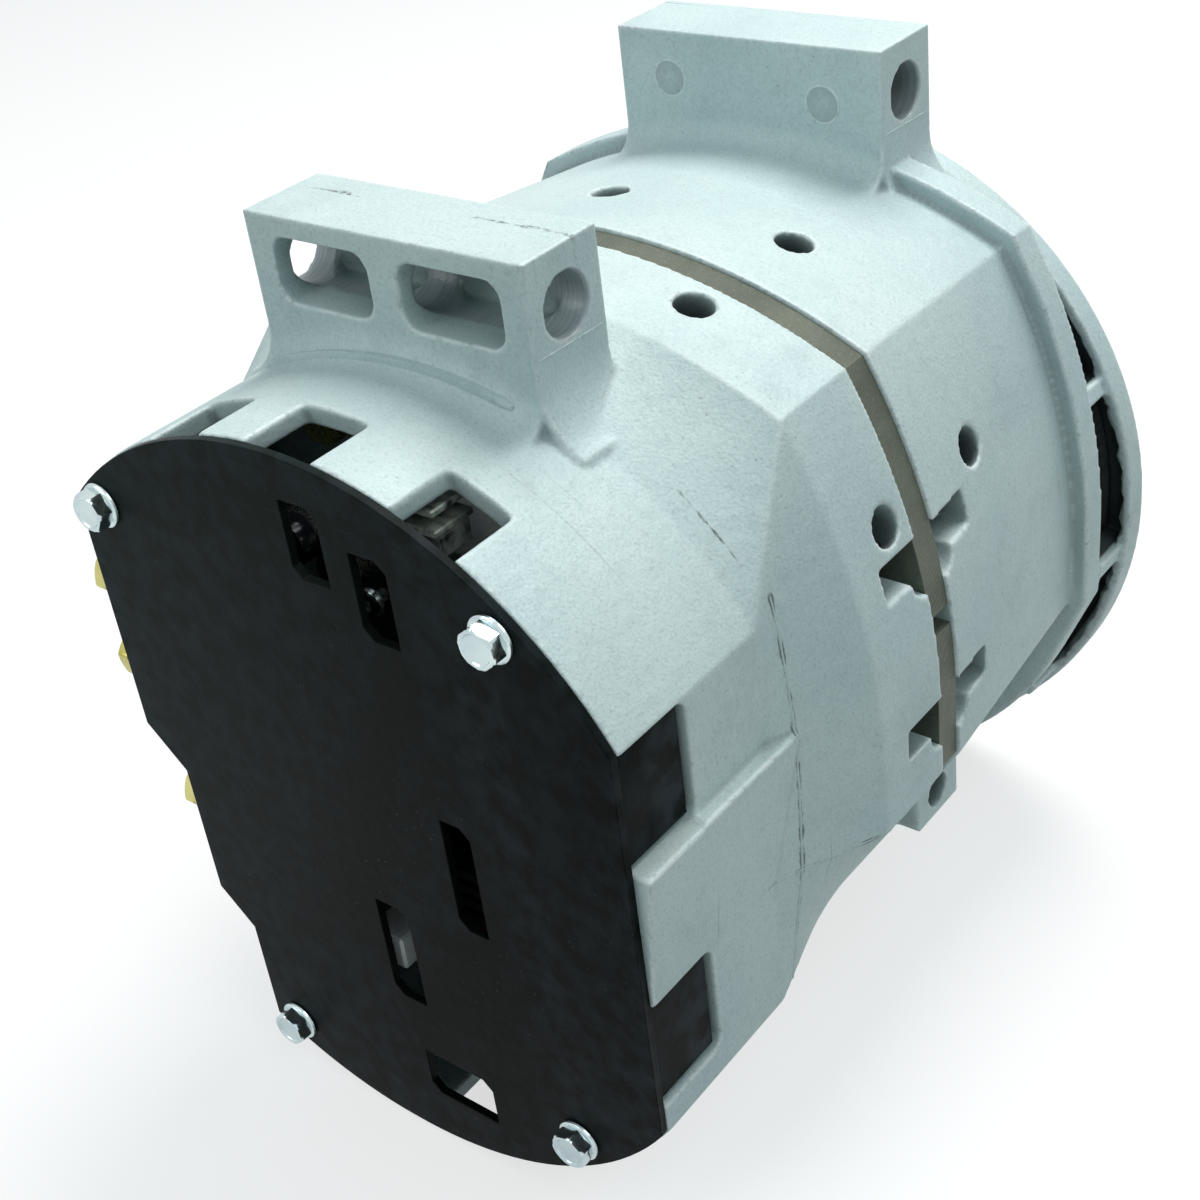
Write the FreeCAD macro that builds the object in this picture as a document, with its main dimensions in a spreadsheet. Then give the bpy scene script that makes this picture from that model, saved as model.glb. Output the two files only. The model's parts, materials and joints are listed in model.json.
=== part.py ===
import FreeCAD
import Part
import Sketcher
import math
import os

# Heavy duty vehicle alternator with two transverse mounting beams.
# Frame: the shaft lies along Y, the drive end points to -Y and +Z is up.
# The origin is on the shaft axis in the plane where a pulley seats.
# Angles around the shaft are counted from the top towards -X.

doc = FreeCAD.newDocument("Alternator")
sheet = doc.addObject("Spreadsheet::Sheet", "Dims")

SIZES = [
    # stations along the shaft
    ("ring_front", 4.0), ("ring_depth", 9.0), ("window_depth", 11.0),
    ("flange_depth", 8.0), ("drive_shell_length", 66.5), ("band_width", 7.5),
    ("stator_zone", 24.0), ("shoulder_length", 25.0), ("skirt_length", 43.0),
    ("cover_thickness", 2.0), ("register_depth", 17.0),
    ("partition_thickness", 7.0), ("rear_cavity", 23.0), ("jaw_length", 21.0),
    # outline of the round rear skirt
    ("skirt_radius", 90.0), ("skirt_right", 77.0), ("skirt_left_top", 63.0),
    ("skirt_left_mid", 53.0), ("skirt_left_low", 44.0), ("step_high", 4.0),
    ("step_low", 41.0), ("flank_low", 50.0), ("skirt_wall", 4.5), ("cover_inset", 0.4),
    # rounded polygon outline of the shell around the stator
    ("shell_apex", 95.0), ("shell_corner_across", 69.0),
    ("shell_corner_up", 78.0), ("shell_reach", 89.5),
    ("shell_crease", 16.0), ("low_draw", 5.1), ("flange_draw", 1.0),
    ("shell_taper", 5.6), ("corner_taper", 4.5), ("flange_lip", 4.2),
    ("band_inset", 1.0), ("casing_wall", 9.0), ("stack_shoulder", 10.0),
    # shroud ring around the fan
    ("ring_outer", 90.5), ("ring_wall", 8.5), ("web_count", 12.0),
    ("web_width", 4.5), ("web_turn", 7.5),
    # transverse mounting beams
    ("beam_half", 36.6), ("beam_depth", 22.0), ("beam_top", 116.5),
    ("beam_bore_height", 104.4), ("beam_bore", 13.0),
    ("rear_beam_rear", 161.0), ("front_beam_rear", 35.0),
    ("pocket_wall_end", 6.6), ("pocket_wall_mid", 8.0),
    ("pocket_top", 4.5), ("pocket_height", 14.0), ("pocket_round", 4.0),
    ("beam_back_wall", 4.5),
    ("root_fillet", 7.0), ("flare_top", 92.0), ("flare_radius", 14.0), ("flare_arc", 70.0),
    # openings in the skirt
    ("notch_depth", 16.0), ("side_window_depth", 20.0),
    ("notch_a_left", 34.0), ("notch_a_width", 15.0),
    ("notch_b_left", 5.0), ("notch_b_width", 17.0),
    ("notch_c_left", -31.0), ("notch_c_width", 14.0),
    ("window_high_top", 46.0), ("window_height", 27.5),
    ("window_low_top", -15.5), ("window_round", 3.0),
    ("sump_left", -6.0), ("sump_width", 34.0), ("sump_depth", 24.0),
    ("ledge_top", 19.0), ("ledge_height", 34.0), ("ledge_proud", 3.6),
    ("ledge_length", 74.0),
    # holes and slots beside the stator band
    ("vent_bore", 8.8), ("vent_offset", 8.0), ("drive_vent_offset", 23.0),
    ("slot_high", 34.6), ("slot_low", -3.6), ("slot_height", 7.8),
    ("slot_length", 14.5), ("slot_round", 5.0),
    ("lug_across", 78.0), ("lug_low", 45.0), ("lug_height", 16.0),
    ("lug_length", 19.0), ("lug_gap", 0.8), ("lug_bore", 8.5),
    ("lug_hole_up", -38.5), ("lug_hole_depth", 4.8),
    ("nick_low", 18.5), ("nick_height", 4.5),
    # cover screws
    ("screw_edge", 6.2), ("screw_thread", 5.0), ("screw_boss", 6.0),
    ("screw_flange", 11.0), ("screw_flats", 8.0), ("screw_head", 4.6),
    ("screw_flange_height", 1.4), ("screw_length", 14.0),
    ("screw_recess", 4.6), ("hole_clearance", 0.3),
    # slots in the cover
    ("slot_clip", 2.4),
    ("cut_a_left", -3.0), ("cut_a_width", 9.5), ("cut_a_low", 63.0), ("cut_a_height", 17.0),
    ("cut_b_left", -19.5), ("cut_b_width", 9.0), ("cut_b_low", 54.0), ("cut_b_height", 19.0),
    ("cut_c_left", -29.5), ("cut_c_width", 7.5), ("cut_c_low", -15.0), ("cut_c_height", 28.5),
    ("cut_d_left", -4.0), ("cut_d_width", 9.0), ("cut_d_low", -46.5), ("cut_d_height", 27.5),
    ("cut_e_left", -9.0), ("cut_e_width", 19.5), ("cut_e_low", -75.0), ("cut_e_height", 12.5),
    ("tab_inset", 1.4), ("tab_thickness", 2.0), ("tab_gap", 1.2),
    # bearings and shaft
    ("front_bearing_outer", 62.0), ("front_bearing_bore", 25.0),
    ("front_bearing_width", 17.0), ("rear_bearing_outer", 40.0),
    ("rear_bearing_bore", 17.0), ("rear_bearing_width", 12.0),
    ("front_ball", 5.2), ("front_land", 2.4), ("rear_ball", 3.3), ("rear_land", 1.7),
    ("hub_wall", 7.0), ("bearing_shoulder", 5.0),
    ("pin_diameter", 22.2), ("pin_length", 38.0), ("thread_diameter", 16.0),
    ("thread_length", 24.0), ("relief_width", 0.8), ("relief_depth", 0.4),
    ("spacer_outer", 38.0), ("spacer_length", 6.0),
    ("fan_thickness", 3.0), ("fan_gap", 1.2), ("fan_blade_height", 9.0),
    ("fan_blades", 12.0), ("keyway_width", 4.8), ("keyway_length", 20.0),
    ("keyway_depth", 2.5),
    # rotor
    ("air_gap", 0.5), ("stack_depth", 22.0), ("rotor_length", 62.0),
    ("claw_disc", 13.0), ("claw_count", 6.0), ("claw_root", 15.0),
    ("claw_tip", 5.5), ("core_radius", 26.0), ("rotor_seat", 30.0),
    ("claw_cover", 16.0), ("coil_gap", 0.6), ("claw_skin", 9.0),
    ("claw_tip_skin", 5.0), ("valley_depth", 20.0),
    ("slip_radius", 15.0), ("slip_width", 8.0), ("slip_space", 3.0),
    ("slip_sleeve", 9.5), ("slip_shaft", 6.0),
    # stator
    ("slot_count", 36.0), ("tooth_slot_width", 5.0), ("tooth_slot_depth", 11.0),
    ("bar_gap", 0.3), ("front_turns", 17.0), ("rear_turns", 15.0),
    # through bolts
    ("bolt_depth", 6.0), ("bolt_diameter", 5.8), ("bolt_head", 10.0),
    ("bolt_head_height", 5.0), ("bolt_grip", 27.0),
    # rectifier and electrical parts in the rear chamber
    ("sink_inner_gap", 15.0), ("sink_bolt_gap", 2.5), ("minus_thickness", 6.0),
    ("plus_thickness", 11.0), ("plus_gap", 9.5), ("sink_space", 17.0),
    ("sink_half_angle", 52.0), ("plus_half_angle", 32.0), ("diode_diameter", 12.7),
    ("diode_height", 9.0), ("spacer_tube", 8.0),
    ("fin_height", 2.6), ("fin_width", 1.8), ("holder_half", 11.0),
    ("holder_top", 38.0), ("brush_width", 5.0), ("brush_gap", 0.3),
    ("brush_length", 14.0), ("regulator_right", -46.0),
    ("regulator_left", 6.0), ("regulator_top", -28.5),
    ("regulator_bottom", -60.0), ("regulator_depth", 23.0),
    ("capacitor_radius", 7.5), ("capacitor_length", 28.0),
    ("stud_diameter", 8.0), ("stud_y", 189.0), ("stud_up_a", 36.0),
    ("stud_up_b", 14.0), ("stud_up_c", -22.0), ("stud_end", 1.5),
    ("nut_small_flats", 13.0), ("nut_small_height", 6.5), ("washer_height", 1.4),
    ("insulator_outer", 15.0), ("insulator_lip", 2.5), ("insulator_collar", 4.0),
    ("retainer_thickness", 3.0), ("retainer_screw_inset", 4.0),
]

# sizes that follow from the ones above
DERIVED = [
    ("nose_reach", "shell_reach - shell_taper"),
    ("nose_apex", "shell_apex - shell_taper + 0.1"),
    ("nose_corner_across", "shell_corner_across - corner_taper"),
    ("nose_corner_up", "shell_corner_up - corner_taper"),
    ("stack_radius", "shell_reach - casing_wall"),
    ("cavity_radius", "stack_radius - stack_shoulder"),
    ("bore_radius", "stack_radius - stack_depth"),
    ("bolt_ring", "stack_radius - bolt_depth"),
    ("fan_radius", "ring_outer - ring_wall - fan_gap"),
    ("coil_radius", "bore_radius - claw_cover"),
    ("claw_valley", "bore_radius - valley_depth"),
    ("screw_ring", "skirt_radius - screw_edge"),
    ("sink_inner", "rear_bearing_outer / 2 + hub_wall + sink_inner_gap"),
    ("sink_outer", "bolt_ring - bolt_head / 2 - sink_bolt_gap"),
    ("plus_outer", "skirt_radius - plus_gap"),
    ("diode_ring", "(sink_inner + sink_outer) / 2"),
    ("retainer_radius", "front_bearing_outer / 2 + hub_wall"),
    ("retainer_screw_ring", "retainer_radius - retainer_screw_inset"),
]

row = 0
for alias, content in SIZES + [(alias, "=" + text) for alias, text in DERIVED]:
    row += 1
    sheet.set("A%d" % row, alias)
    sheet.set("B%d" % row, str(content))
    sheet.setAlias("B%d" % row, alias)
doc.recompute()


class Size:
    """A number of the model together with the text that ties it to the sheet."""

    def __init__(self, value, text):
        self.value = float(value)
        self.text = text

    def __add__(self, other):
        other = size(other)
        return Size(self.value + other.value, "(%s + %s)" % (self.text, other.text))

    def __radd__(self, other):
        return size(other) + self

    def __sub__(self, other):
        other = size(other)
        return Size(self.value - other.value, "(%s - %s)" % (self.text, other.text))

    def __rsub__(self, other):
        return size(other) - self

    def __mul__(self, other):
        other = size(other)
        return Size(self.value * other.value, "(%s * %s)" % (self.text, other.text))

    def __rmul__(self, other):
        return size(other) * self

    def __truediv__(self, other):
        other = size(other)
        return Size(self.value / other.value, "(%s / %s)" % (self.text, other.text))

    def __neg__(self):
        return Size(-self.value, "(-1 * %s)" % self.text)


def size(thing):
    if isinstance(thing, Size):
        return thing
    if isinstance(thing, str):
        return Size(float(sheet.get(thing)), "Dims." + thing)
    return Size(thing, repr(float(thing)))


def root(thing):
    return Size(math.sqrt(thing.value), "sqrt(%s)" % thing.text)


def cosine(thing):
    thing = size(thing)
    return Size(math.cos(math.radians(thing.value)), "cos(%s)" % thing.text)


def sine(thing):
    thing = size(thing)
    return Size(math.sin(math.radians(thing.value)), "sin(%s)" % thing.text)


def other_leg(long_side, leg):
    return root(size(long_side) * long_side - size(leg) * leg)


# stations along the shaft, from the pulley seat to the rear cover
ring_front = size("ring_front")
ring_rear = ring_front + "ring_depth"
flange_front = ring_rear + "window_depth"
flange_rear = flange_front + "flange_depth"
band_front = flange_rear + "drive_shell_length"
band_rear = band_front + "band_width"
shoulder_front = band_rear + "stator_zone"
skirt_front = shoulder_front + "shoulder_length"
rear_edge = skirt_front + "skirt_length"
cover_rear = rear_edge + "cover_thickness"
stack_front = band_front - "register_depth"
stack_rear = band_rear + "register_depth"
partition_front = stack_rear + "rear_cavity"
partition_rear = partition_front + "partition_thickness"
rotor_mid = band_front + size("band_width") / 2
rotor_front = rotor_mid - size("rotor_length") / 2
rotor_rear = rotor_mid + size("rotor_length") / 2

PARTS = []


def is_zero(thing):
    return abs(thing.value) < 1e-9 and "Dims" not in thing.text


def origin_feature(body, role):
    for feature in body.Origin.OriginFeatures:
        if feature.Role == role:
            return feature
    raise RuntimeError("no origin feature " + role)


def new_body(label):
    body = doc.addObject("PartDesign::Body", label)
    body.Label = label
    PARTS.append(body)
    return body


def new_sketch(body, name, role, offset, turn=None):
    sketch = body.newObject("Sketcher::SketchObject", name)
    sketch.AttachmentSupport = [(origin_feature(body, role), "")]
    sketch.MapMode = "FlatFace"
    if turn is not None:
        axis = FreeCAD.Vector(0, 1, 0)
        if role == "XZ_Plane":
            axis = FreeCAD.Vector(0, 0, 1)
        spin = FreeCAD.Rotation(axis, turn.value)
        sketch.AttachmentOffset = FreeCAD.Placement(FreeCAD.Vector(0, 0, 0), spin)
        sketch.setExpression("AttachmentOffset.Rotation.Angle", turn.text)
    offset = size(offset)
    if turn is not None and role == "XY_Plane":
        sketch.setExpression("AttachmentOffset.Base.x", (offset * sine(turn)).text)
        offset = offset * cosine(turn)
    sketch.setExpression("AttachmentOffset.Base.z", offset.text)
    return sketch


def tie(sketch, kind, items, amount):
    index = sketch.addConstraint(Sketcher.Constraint(kind, *items, amount.value))
    sketch.setExpression("Constraints[%d]" % index, amount.text)


def pin(sketch, element, point, across, up):
    if is_zero(across) and is_zero(up):
        sketch.addConstraint(Sketcher.Constraint("Coincident", element, point, -1, 1))
        return
    if is_zero(across):
        sketch.addConstraint(Sketcher.Constraint("PointOnObject", element, point, -2))
    else:
        tie(sketch, "DistanceX", (-1, 1, element, point), across)
    if is_zero(up):
        sketch.addConstraint(Sketcher.Constraint("PointOnObject", element, point, -1))
    else:
        tie(sketch, "DistanceY", (-1, 1, element, point), up)


def arc_between(start, end, radius, bulge):
    """Arc from start to end; bulge is +1 when the centre lies left of the path."""
    middle = (start + end) * 0.5
    chord = end - start
    half = chord.Length / 2
    reach = math.sqrt(max(radius * radius - half * half, 0.0))
    left = FreeCAD.Vector(-chord.y, chord.x, 0)
    left.normalize()
    centre = middle + left * (reach * bulge)
    circle = Part.Circle(centre, FreeCAD.Vector(0, 0, 1), radius)
    a = circle.parameter(start)
    b = circle.parameter(end)
    if bulge > 0:
        return Part.ArcOfCircle(circle, a, b if b > a else b + 2 * math.pi), True
    return Part.ArcOfCircle(circle, b, a if a > b else a + 2 * math.pi), False


def draw_path(sketch, corners, arcs=None):
    """Closed outline through corners; arcs maps a side number to radius and bulge."""
    arcs = arcs or {}
    corners = [(size(a), size(b)) for a, b in corners]
    vectors = [FreeCAD.Vector(a.value, b.value, 0) for a, b in corners]
    count = len(corners)
    ends = []
    for i in range(count):
        start = vectors[i]
        end = vectors[(i + 1) % count]
        if i in arcs:
            radius, bulge = arcs[i]
            radius = size(radius)
            shape, forward = arc_between(start, end, radius.value, bulge)
            number = sketch.addGeometry(shape, False)
            ends.append((number, 1, 2) if forward else (number, 2, 1))
        else:
            number = sketch.addGeometry(Part.LineSegment(start, end), False)
            ends.append((number, 1, 2))
    for i in range(count):
        here = ends[i]
        after = ends[(i + 1) % count]
        link = Sketcher.Constraint("Coincident", here[0], here[2], after[0], after[1])
        sketch.addConstraint(link)
    for i in range(count):
        pin(sketch, ends[i][0], ends[i][1], corners[i][0], corners[i][1])
    for i in arcs:
        tie(sketch, "Radius", (ends[i][0],), size(arcs[i][0]))


def draw_circle(sketch, across, up, radius):
    across = size(across)
    up = size(up)
    radius = size(radius)
    centre = FreeCAD.Vector(across.value, up.value, 0)
    circle = Part.Circle(centre, FreeCAD.Vector(0, 0, 1), radius.value)
    number = sketch.addGeometry(circle, False)
    pin(sketch, number, 3, across, up)
    tie(sketch, "Radius", (number,), radius)


def draw_box(sketch, left, right, low, high):
    draw_path(sketch, [(left, low), (right, low), (right, high), (left, high)])


def draw_round_box(sketch, left, right, low, high, radius):
    left, right = size(left), size(right)
    low, high, radius = size(low), size(high), size(radius)
    corners = [
        (left + radius, low), (right - radius, low),
        (right, low + radius), (right, high - radius),
        (right - radius, high), (left + radius, high),
        (left, high - radius), (left, low + radius),
    ]
    draw_path(sketch, corners, {1: (radius, 1), 3: (radius, 1), 5: (radius, 1), 7: (radius, 1)})


def pad(body, sketch, length, back=False):
    feature = body.newObject("PartDesign::Pad", sketch.Name + "Pad")
    feature.Profile = sketch
    feature.setExpression("Length", size(length).text)
    feature.Reversed = back
    body.Tip = feature
    return feature


def pocket(body, sketch, length, back=False):
    feature = body.newObject("PartDesign::Pocket", sketch.Name + "Pocket")
    feature.Profile = sketch
    feature.setExpression("Length", size(length).text)
    feature.Reversed = back
    body.Tip = feature
    return feature


def revolve(body, sketch):
    feature = body.newObject("PartDesign::Revolution", sketch.Name + "Turned")
    feature.Profile = sketch
    feature.ReferenceAxis = (sketch, ["H_Axis"])
    feature.Angle = 360
    body.Tip = feature
    return feature


def repeat(body, feature, count):
    pattern = body.newObject("PartDesign::PolarPattern", feature.Name + "Around")
    pattern.Originals = [feature]
    pattern.Axis = (origin_feature(body, "Y_Axis"), [""])
    pattern.Angle = 360
    pattern.setExpression("Occurrences", size(count).text)
    body.Tip = pattern
    return pattern


def at_station(body, station):
    body.setExpression("Placement.Base.y", size(station).text)


def turned(label, station, profile):
    """Body of revolution about the shaft; profile holds (along, radius) pairs."""
    body = new_body(label)
    sketch = new_sketch(body, label + "Profile", "YZ_Plane", 0)
    draw_path(sketch, profile)
    revolve(body, sketch)
    at_station(body, station)
    doc.recompute()
    return body


def ring_profile(start, end, inner, outer):
    return [(start, inner), (end, inner), (end, outer), (start, outer)]


def skirt_outline(inset):
    """Outline of the rear skirt: round, flat on the right, stepped on the left."""
    inset = size(inset)
    radius = size("skirt_radius") - inset
    right = size("skirt_right") - inset
    top = size("skirt_left_top") - inset
    mid = size("skirt_left_mid") - inset
    low = size("skirt_left_low") - inset
    right_low = size("flank_low") - inset * 0.6
    corners = [
        (-right, other_leg(radius, right)),
        (0, radius),
        (top, other_leg(radius, top)),
        (top, "step_high"),
        (mid, size("step_high") - (top - mid)),
        (mid, -size("step_low")),
        (low, -size("step_low") - (mid - low)),
        (low, -other_leg(radius, low)),
        (0, -radius),
        (-right, -right_low),
    ]
    arcs = {0: (radius, -1), 1: (radius, -1), 7: (radius, -1), 8: (radius, -1)}
    return corners, arcs


def shell_outline(apex, across, up, reach, draw):
    """Arched top, bowed flanks, a crease below the middle and a round bottom drawn in."""
    apex, across, up, reach = size(apex), size(across), size(up), size(reach)
    crease = size("shell_crease")
    low = reach - draw
    rise = apex - up
    top_radius = (across * across + rise * rise) / (rise * 2)
    side = reach - across
    side_radius = (side * side + up * up) / (side * 2)
    # straight flank from the crease, touching the round bottom
    square = reach * reach + crease * crease
    leg = root(square - low * low)
    touch_across = low * (low * reach - crease * leg) / square
    touch_down = low * (low * crease + reach * leg) / square
    corners = [
        (-across, up), (0, apex), (across, up), (reach, 0), (reach, -crease),
        (touch_across, -touch_down), (0, -low), (-touch_across, -touch_down),
        (-reach, -crease), (-reach, 0),
    ]
    arcs = {
        0: (top_radius, -1), 1: (top_radius, -1), 2: (side_radius, -1),
        5: (low, -1), 6: (low, -1), 9: (side_radius, -1),
    }
    return corners, arcs


def shoulder_outline():
    """Rear end of the shoulder: round with both flanks flat, cornered like the shell."""
    radius = size("skirt_radius")
    flank = size("skirt_right")
    rise = other_leg(radius, flank)
    crease = size("shell_crease")
    low = size("flank_low")
    corners = [
        (-flank, rise), (0, radius), (flank, rise), (flank, 0), (flank, -crease),
        (flank, -low), (0, -radius), (-flank, -low), (-flank, -crease), (-flank, 0),
    ]
    arcs = {0: (radius, -1), 1: (radius, -1), 5: (radius, -1), 6: (radius, -1)}
    return corners, arcs


def outline_sketch(body, name, station, outline):
    sketch = new_sketch(body, name, "XZ_Plane", -size(station))
    draw_path(sketch, outline[0], outline[1])
    return sketch


def loft(body, first, last):
    feature = body.newObject("PartDesign::AdditiveLoft", first.Name + "Loft")
    feature.Profile = first
    feature.Sections = [(last, [""])]
    feature.Ruled = True
    body.Tip = feature
    return feature


def face_sketch(body, name, station):
    return new_sketch(body, name, "XZ_Plane", -size(station))


def fillet_where(body, wanted, radius):
    """Round the edges of the present solid that the given test picks."""
    doc.recompute()
    base = body.Tip
    names = []
    for number, edge in enumerate(base.Shape.Edges):
        if wanted(edge):
            names.append("Edge%d" % (number + 1))
    if not names:
        raise RuntimeError("no edges to round on " + body.Label)
    feature = body.newObject("PartDesign::Fillet", base.Name + "Round")
    feature.Base = (base, names)
    feature.setExpression("Radius", size(radius).text)
    body.Tip = feature
    doc.recompute()
    return feature


VENT_TURNS = [-107.0, -59.0, -7.0, 23.5, 59.0, 107.0]
BOLT_TURNS = [-25.0, 35.0, 135.0, 195.0]


def add_beam(body, name, rear_face):
    """Transverse beam block on top of a housing, later bored along X."""
    half = size("beam_half")
    sketch = face_sketch(body, name + "Block", rear_face)
    draw_box(sketch, -half, half, size("skirt_radius") * 0.6, "beam_top")
    pad(body, sketch, "beam_depth")


def add_flares(body, name, rear_face):
    """Concave flares that spread the ends of a beam onto the housing."""
    half = size("beam_half")
    high = size("flare_top")
    radius = size("flare_radius")
    out = half + radius * (1 - cosine("flare_arc"))
    low = high - radius * sine("flare_arc")
    base = size("skirt_radius") * 0.6
    sketch = face_sketch(body, name + "Flares", rear_face)
    draw_path(sketch, [(half - 1, high), (half, high), (out, low), (out, base), (half - 1, base)],
              {1: (radius, 1)})
    draw_path(sketch, [(1 - half, high), (-half, high), (-out, low), (-out, base), (1 - half, base)],
              {1: (radius, -1)})
    pad(body, sketch, "beam_depth")


def bore_beam(body, name, rear_face):
    """Bolt bore through the walls of the beam, from end to end."""
    middle = size(rear_face) - size("beam_depth") / 2
    sketch = new_sketch(body, name + "Bore", "YZ_Plane", size("beam_half") + 1)
    draw_circle(sketch, middle, "beam_bore_height", size("beam_bore") / 2)
    pocket(body, sketch, size("beam_half") * 2 + 2)


def add_vents(body, name, station):
    """Round holes through the wall, each looking away from the shaft."""
    for number, turn in enumerate(VENT_TURNS):
        label = "%sVent%d" % (name, number)
        sketch = new_sketch(body, label, "XY_Plane", 0, size(-turn))
        draw_circle(sketch, 0, station, size("vent_bore") / 2)
        pocket(body, sketch, size("shell_apex") * 1.3, True)


def bolt_places():
    return [
        (-(sine(size(turn)) * "bolt_ring"), cosine(size(turn)) * "bolt_ring")
        for turn in BOLT_TURNS
    ]


def edge_slot(body, name, low, edge, length, away):
    """Slot beside the stator band with one lip rounded into the band edge."""
    low = size(low)
    edge = size(edge)
    high = low + "slot_height"
    soft = size("slot_round")
    deep = edge + size(length) * away
    near = edge + soft * away
    past = edge - away
    reach = size("shell_reach")
    sketch = new_sketch(body, name, "YZ_Plane", -(reach * 0.6))
    corners = [
        (past, high), (deep, high), (deep, low), (near, low),
        (edge, low - soft), (past, low - soft),
    ]
    draw_path(sketch, corners, {3: (soft, -away)})
    pocket(body, sketch, reach * 0.6)


SCREW_TURNS = [-40.2, 39.2, 140.5, -155.3]


def screw_places():
    return [
        (-(sine(size(turn)) * "screw_ring"), cosine(size(turn)) * "screw_ring")
        for turn in SCREW_TURNS
    ]


# Rear housing: skirt, shoulder, stator zone, beam, partition and bearing hub.
rear = new_body("rear_housing")
skirt = outline_sketch(rear, "Skirt", rear_edge, skirt_outline(0))
pad(rear, skirt, "skirt_length")
full_outline = shell_outline(
    "shell_apex", "shell_corner_across", "shell_corner_up", "shell_reach", "low_draw")
wide = outline_sketch(rear, "ShoulderWide", shoulder_front, full_outline)
narrow = outline_sketch(rear, "ShoulderNarrow", skirt_front, shoulder_outline())
loft(rear, narrow, wide)
zone = outline_sketch(rear, "StatorZone", shoulder_front, full_outline)
pad(rear, zone, "stator_zone")
add_beam(rear, "RearBeam", "rear_beam_rear")
ledge = face_sketch(rear, "Ledge", rear_edge)
ledge_low = size("ledge_top") - "ledge_height"
ledge_out = size("skirt_right") + "ledge_proud"
draw_path(ledge, [
    (-size("skirt_right") + 2, ledge_low), (-size("skirt_right") + 2, "ledge_top"),
    (-ledge_out, "ledge_top"), (-size("skirt_right") - 0.3, ledge_low)])
pad(rear, ledge, "ledge_length")
jaw = face_sketch(rear, "Jaw", skirt_front)
jaw_across = size("skirt_right")
draw_path(jaw, [
    (-jaw_across, -size("shell_crease")), (0, -size("shell_crease")),
    (0, -size("skirt_radius")), (-jaw_across, -size("flank_low"))],
    {2: ("skirt_radius", -1)})
pad(rear, jaw, "jaw_length")


def beam_root(edge):
    """True for edges where the rear beam meets the round skirt."""
    radius = size("skirt_radius").value
    face = size("rear_beam_rear").value
    box = edge.BoundBox
    flat = abs(box.YMin - face) < 0.01 and abs(box.YMax - face) < 0.01
    round_edge = all(abs(math.hypot(v.X, v.Z) - radius) < 0.05 for v in edge.Vertexes)
    return flat and round_edge and box.XLength > 5 and box.ZMin > 0


def front_root(edge):
    """True for edges where the rear of the front beam meets the drive shell."""
    face = size("front_beam_rear").value
    box = edge.BoundBox
    flat = abs(box.YMin - face) < 0.01 and abs(box.YMax - face) < 0.01
    return flat and box.XLength > 5 and 75 < box.ZMin and box.ZMax < 100


fillet_where(rear, beam_root, "root_fillet")
add_flares(rear, "RearBeam", "rear_beam_rear")
chamber = outline_sketch(rear, "Chamber", partition_rear, skirt_outline("skirt_wall"))
pocket(rear, chamber, rear_edge - partition_rear + 1)
register = face_sketch(rear, "Register", band_rear)
draw_circle(register, 0, 0, "stack_radius")
pocket(rear, register, "register_depth")
hollow = face_sketch(rear, "Hollow", stack_rear)
draw_circle(hollow, 0, 0, "cavity_radius")
pocket(rear, hollow, "rear_cavity")
rear_seat = partition_front + "bearing_shoulder"
rear_hub_end = rear_seat + "rear_bearing_width" + 3
rear_bearing_radius = size("rear_bearing_outer") / 2
hub = face_sketch(rear, "RearHub", rear_hub_end)
draw_circle(hub, 0, 0, rear_bearing_radius + "hub_wall")
pad(rear, hub, rear_hub_end - partition_front)
seat = face_sketch(rear, "RearSeat", rear_seat)
draw_circle(seat, 0, 0, rear_bearing_radius)
pocket(rear, seat, rear_hub_end - rear_seat + 1)
throat = face_sketch(rear, "RearThroat", partition_front - 1)
draw_circle(throat, 0, 0, size("rear_bearing_bore") / 2 + 5)
pocket(rear, throat, rear_seat - partition_front + 2)
for number, place in enumerate(screw_places()):
    boss = face_sketch(rear, "CoverBoss%d" % number, rear_edge)
    draw_circle(boss, place[0], place[1], "screw_boss")
    pad(rear, boss, rear_edge - partition_rear + 1)
tapped = face_sketch(rear, "CoverTaps", rear_edge - "screw_length")
for place in screw_places():
    draw_circle(tapped, place[0], place[1], size("screw_thread") / 2)
pocket(rear, tapped, size("screw_length") + 1)
vent = face_sketch(rear, "PartitionVent", partition_front - 1)
vent_low = rear_bearing_radius + "hub_wall" + 6
vent_high = size("cavity_radius") - 8
draw_path(vent, [(-7, vent_low), (7, vent_low), (13, vent_high), (-13, vent_high)])
repeat(rear, pocket(rear, vent, size("partition_thickness") + 4), 8)
NOTCHES = [("notch_a_left", "notch_a_width"), ("notch_b_left", "notch_b_width"),
           ("notch_c_left", "notch_c_width")]
for number, (left, width) in enumerate(NOTCHES):
    notch = face_sketch(rear, "TopNotch%d" % number, rear_edge + 1)
    low = size("skirt_radius") * 0.74
    draw_box(notch, size(left) - width, left, low, size("skirt_radius") + 5)
    pocket(rear, notch, size("notch_depth") + 1, True)
for number, top in enumerate(["window_high_top", "window_low_top"]):
    opening = new_sketch(rear, "SideWindow%d" % number, "YZ_Plane", -size("skirt_right") + 6)
    draw_round_box(opening, rear_edge - "side_window_depth", rear_edge + 8,
                   size(top) - "window_height", top, "window_round")
    pocket(rear, opening, 14)
sump = face_sketch(rear, "Sump", rear_edge + 1)
draw_box(sump, size("sump_left") - "sump_width", "sump_left",
         -size("skirt_radius") - 5, -size("skirt_radius") * 0.78)
pocket(rear, sump, size("sump_depth") + 1, True)
holes = face_sketch(rear, "BoltHoles", stack_rear - 1)
for place in bolt_places():
    draw_circle(holes, place[0], place[1], size("bolt_diameter") / 2 + "hole_clearance")
pocket(rear, holes, partition_rear - stack_rear + 4)
sinks = face_sketch(rear, "BoltSinks", partition_rear)
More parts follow.
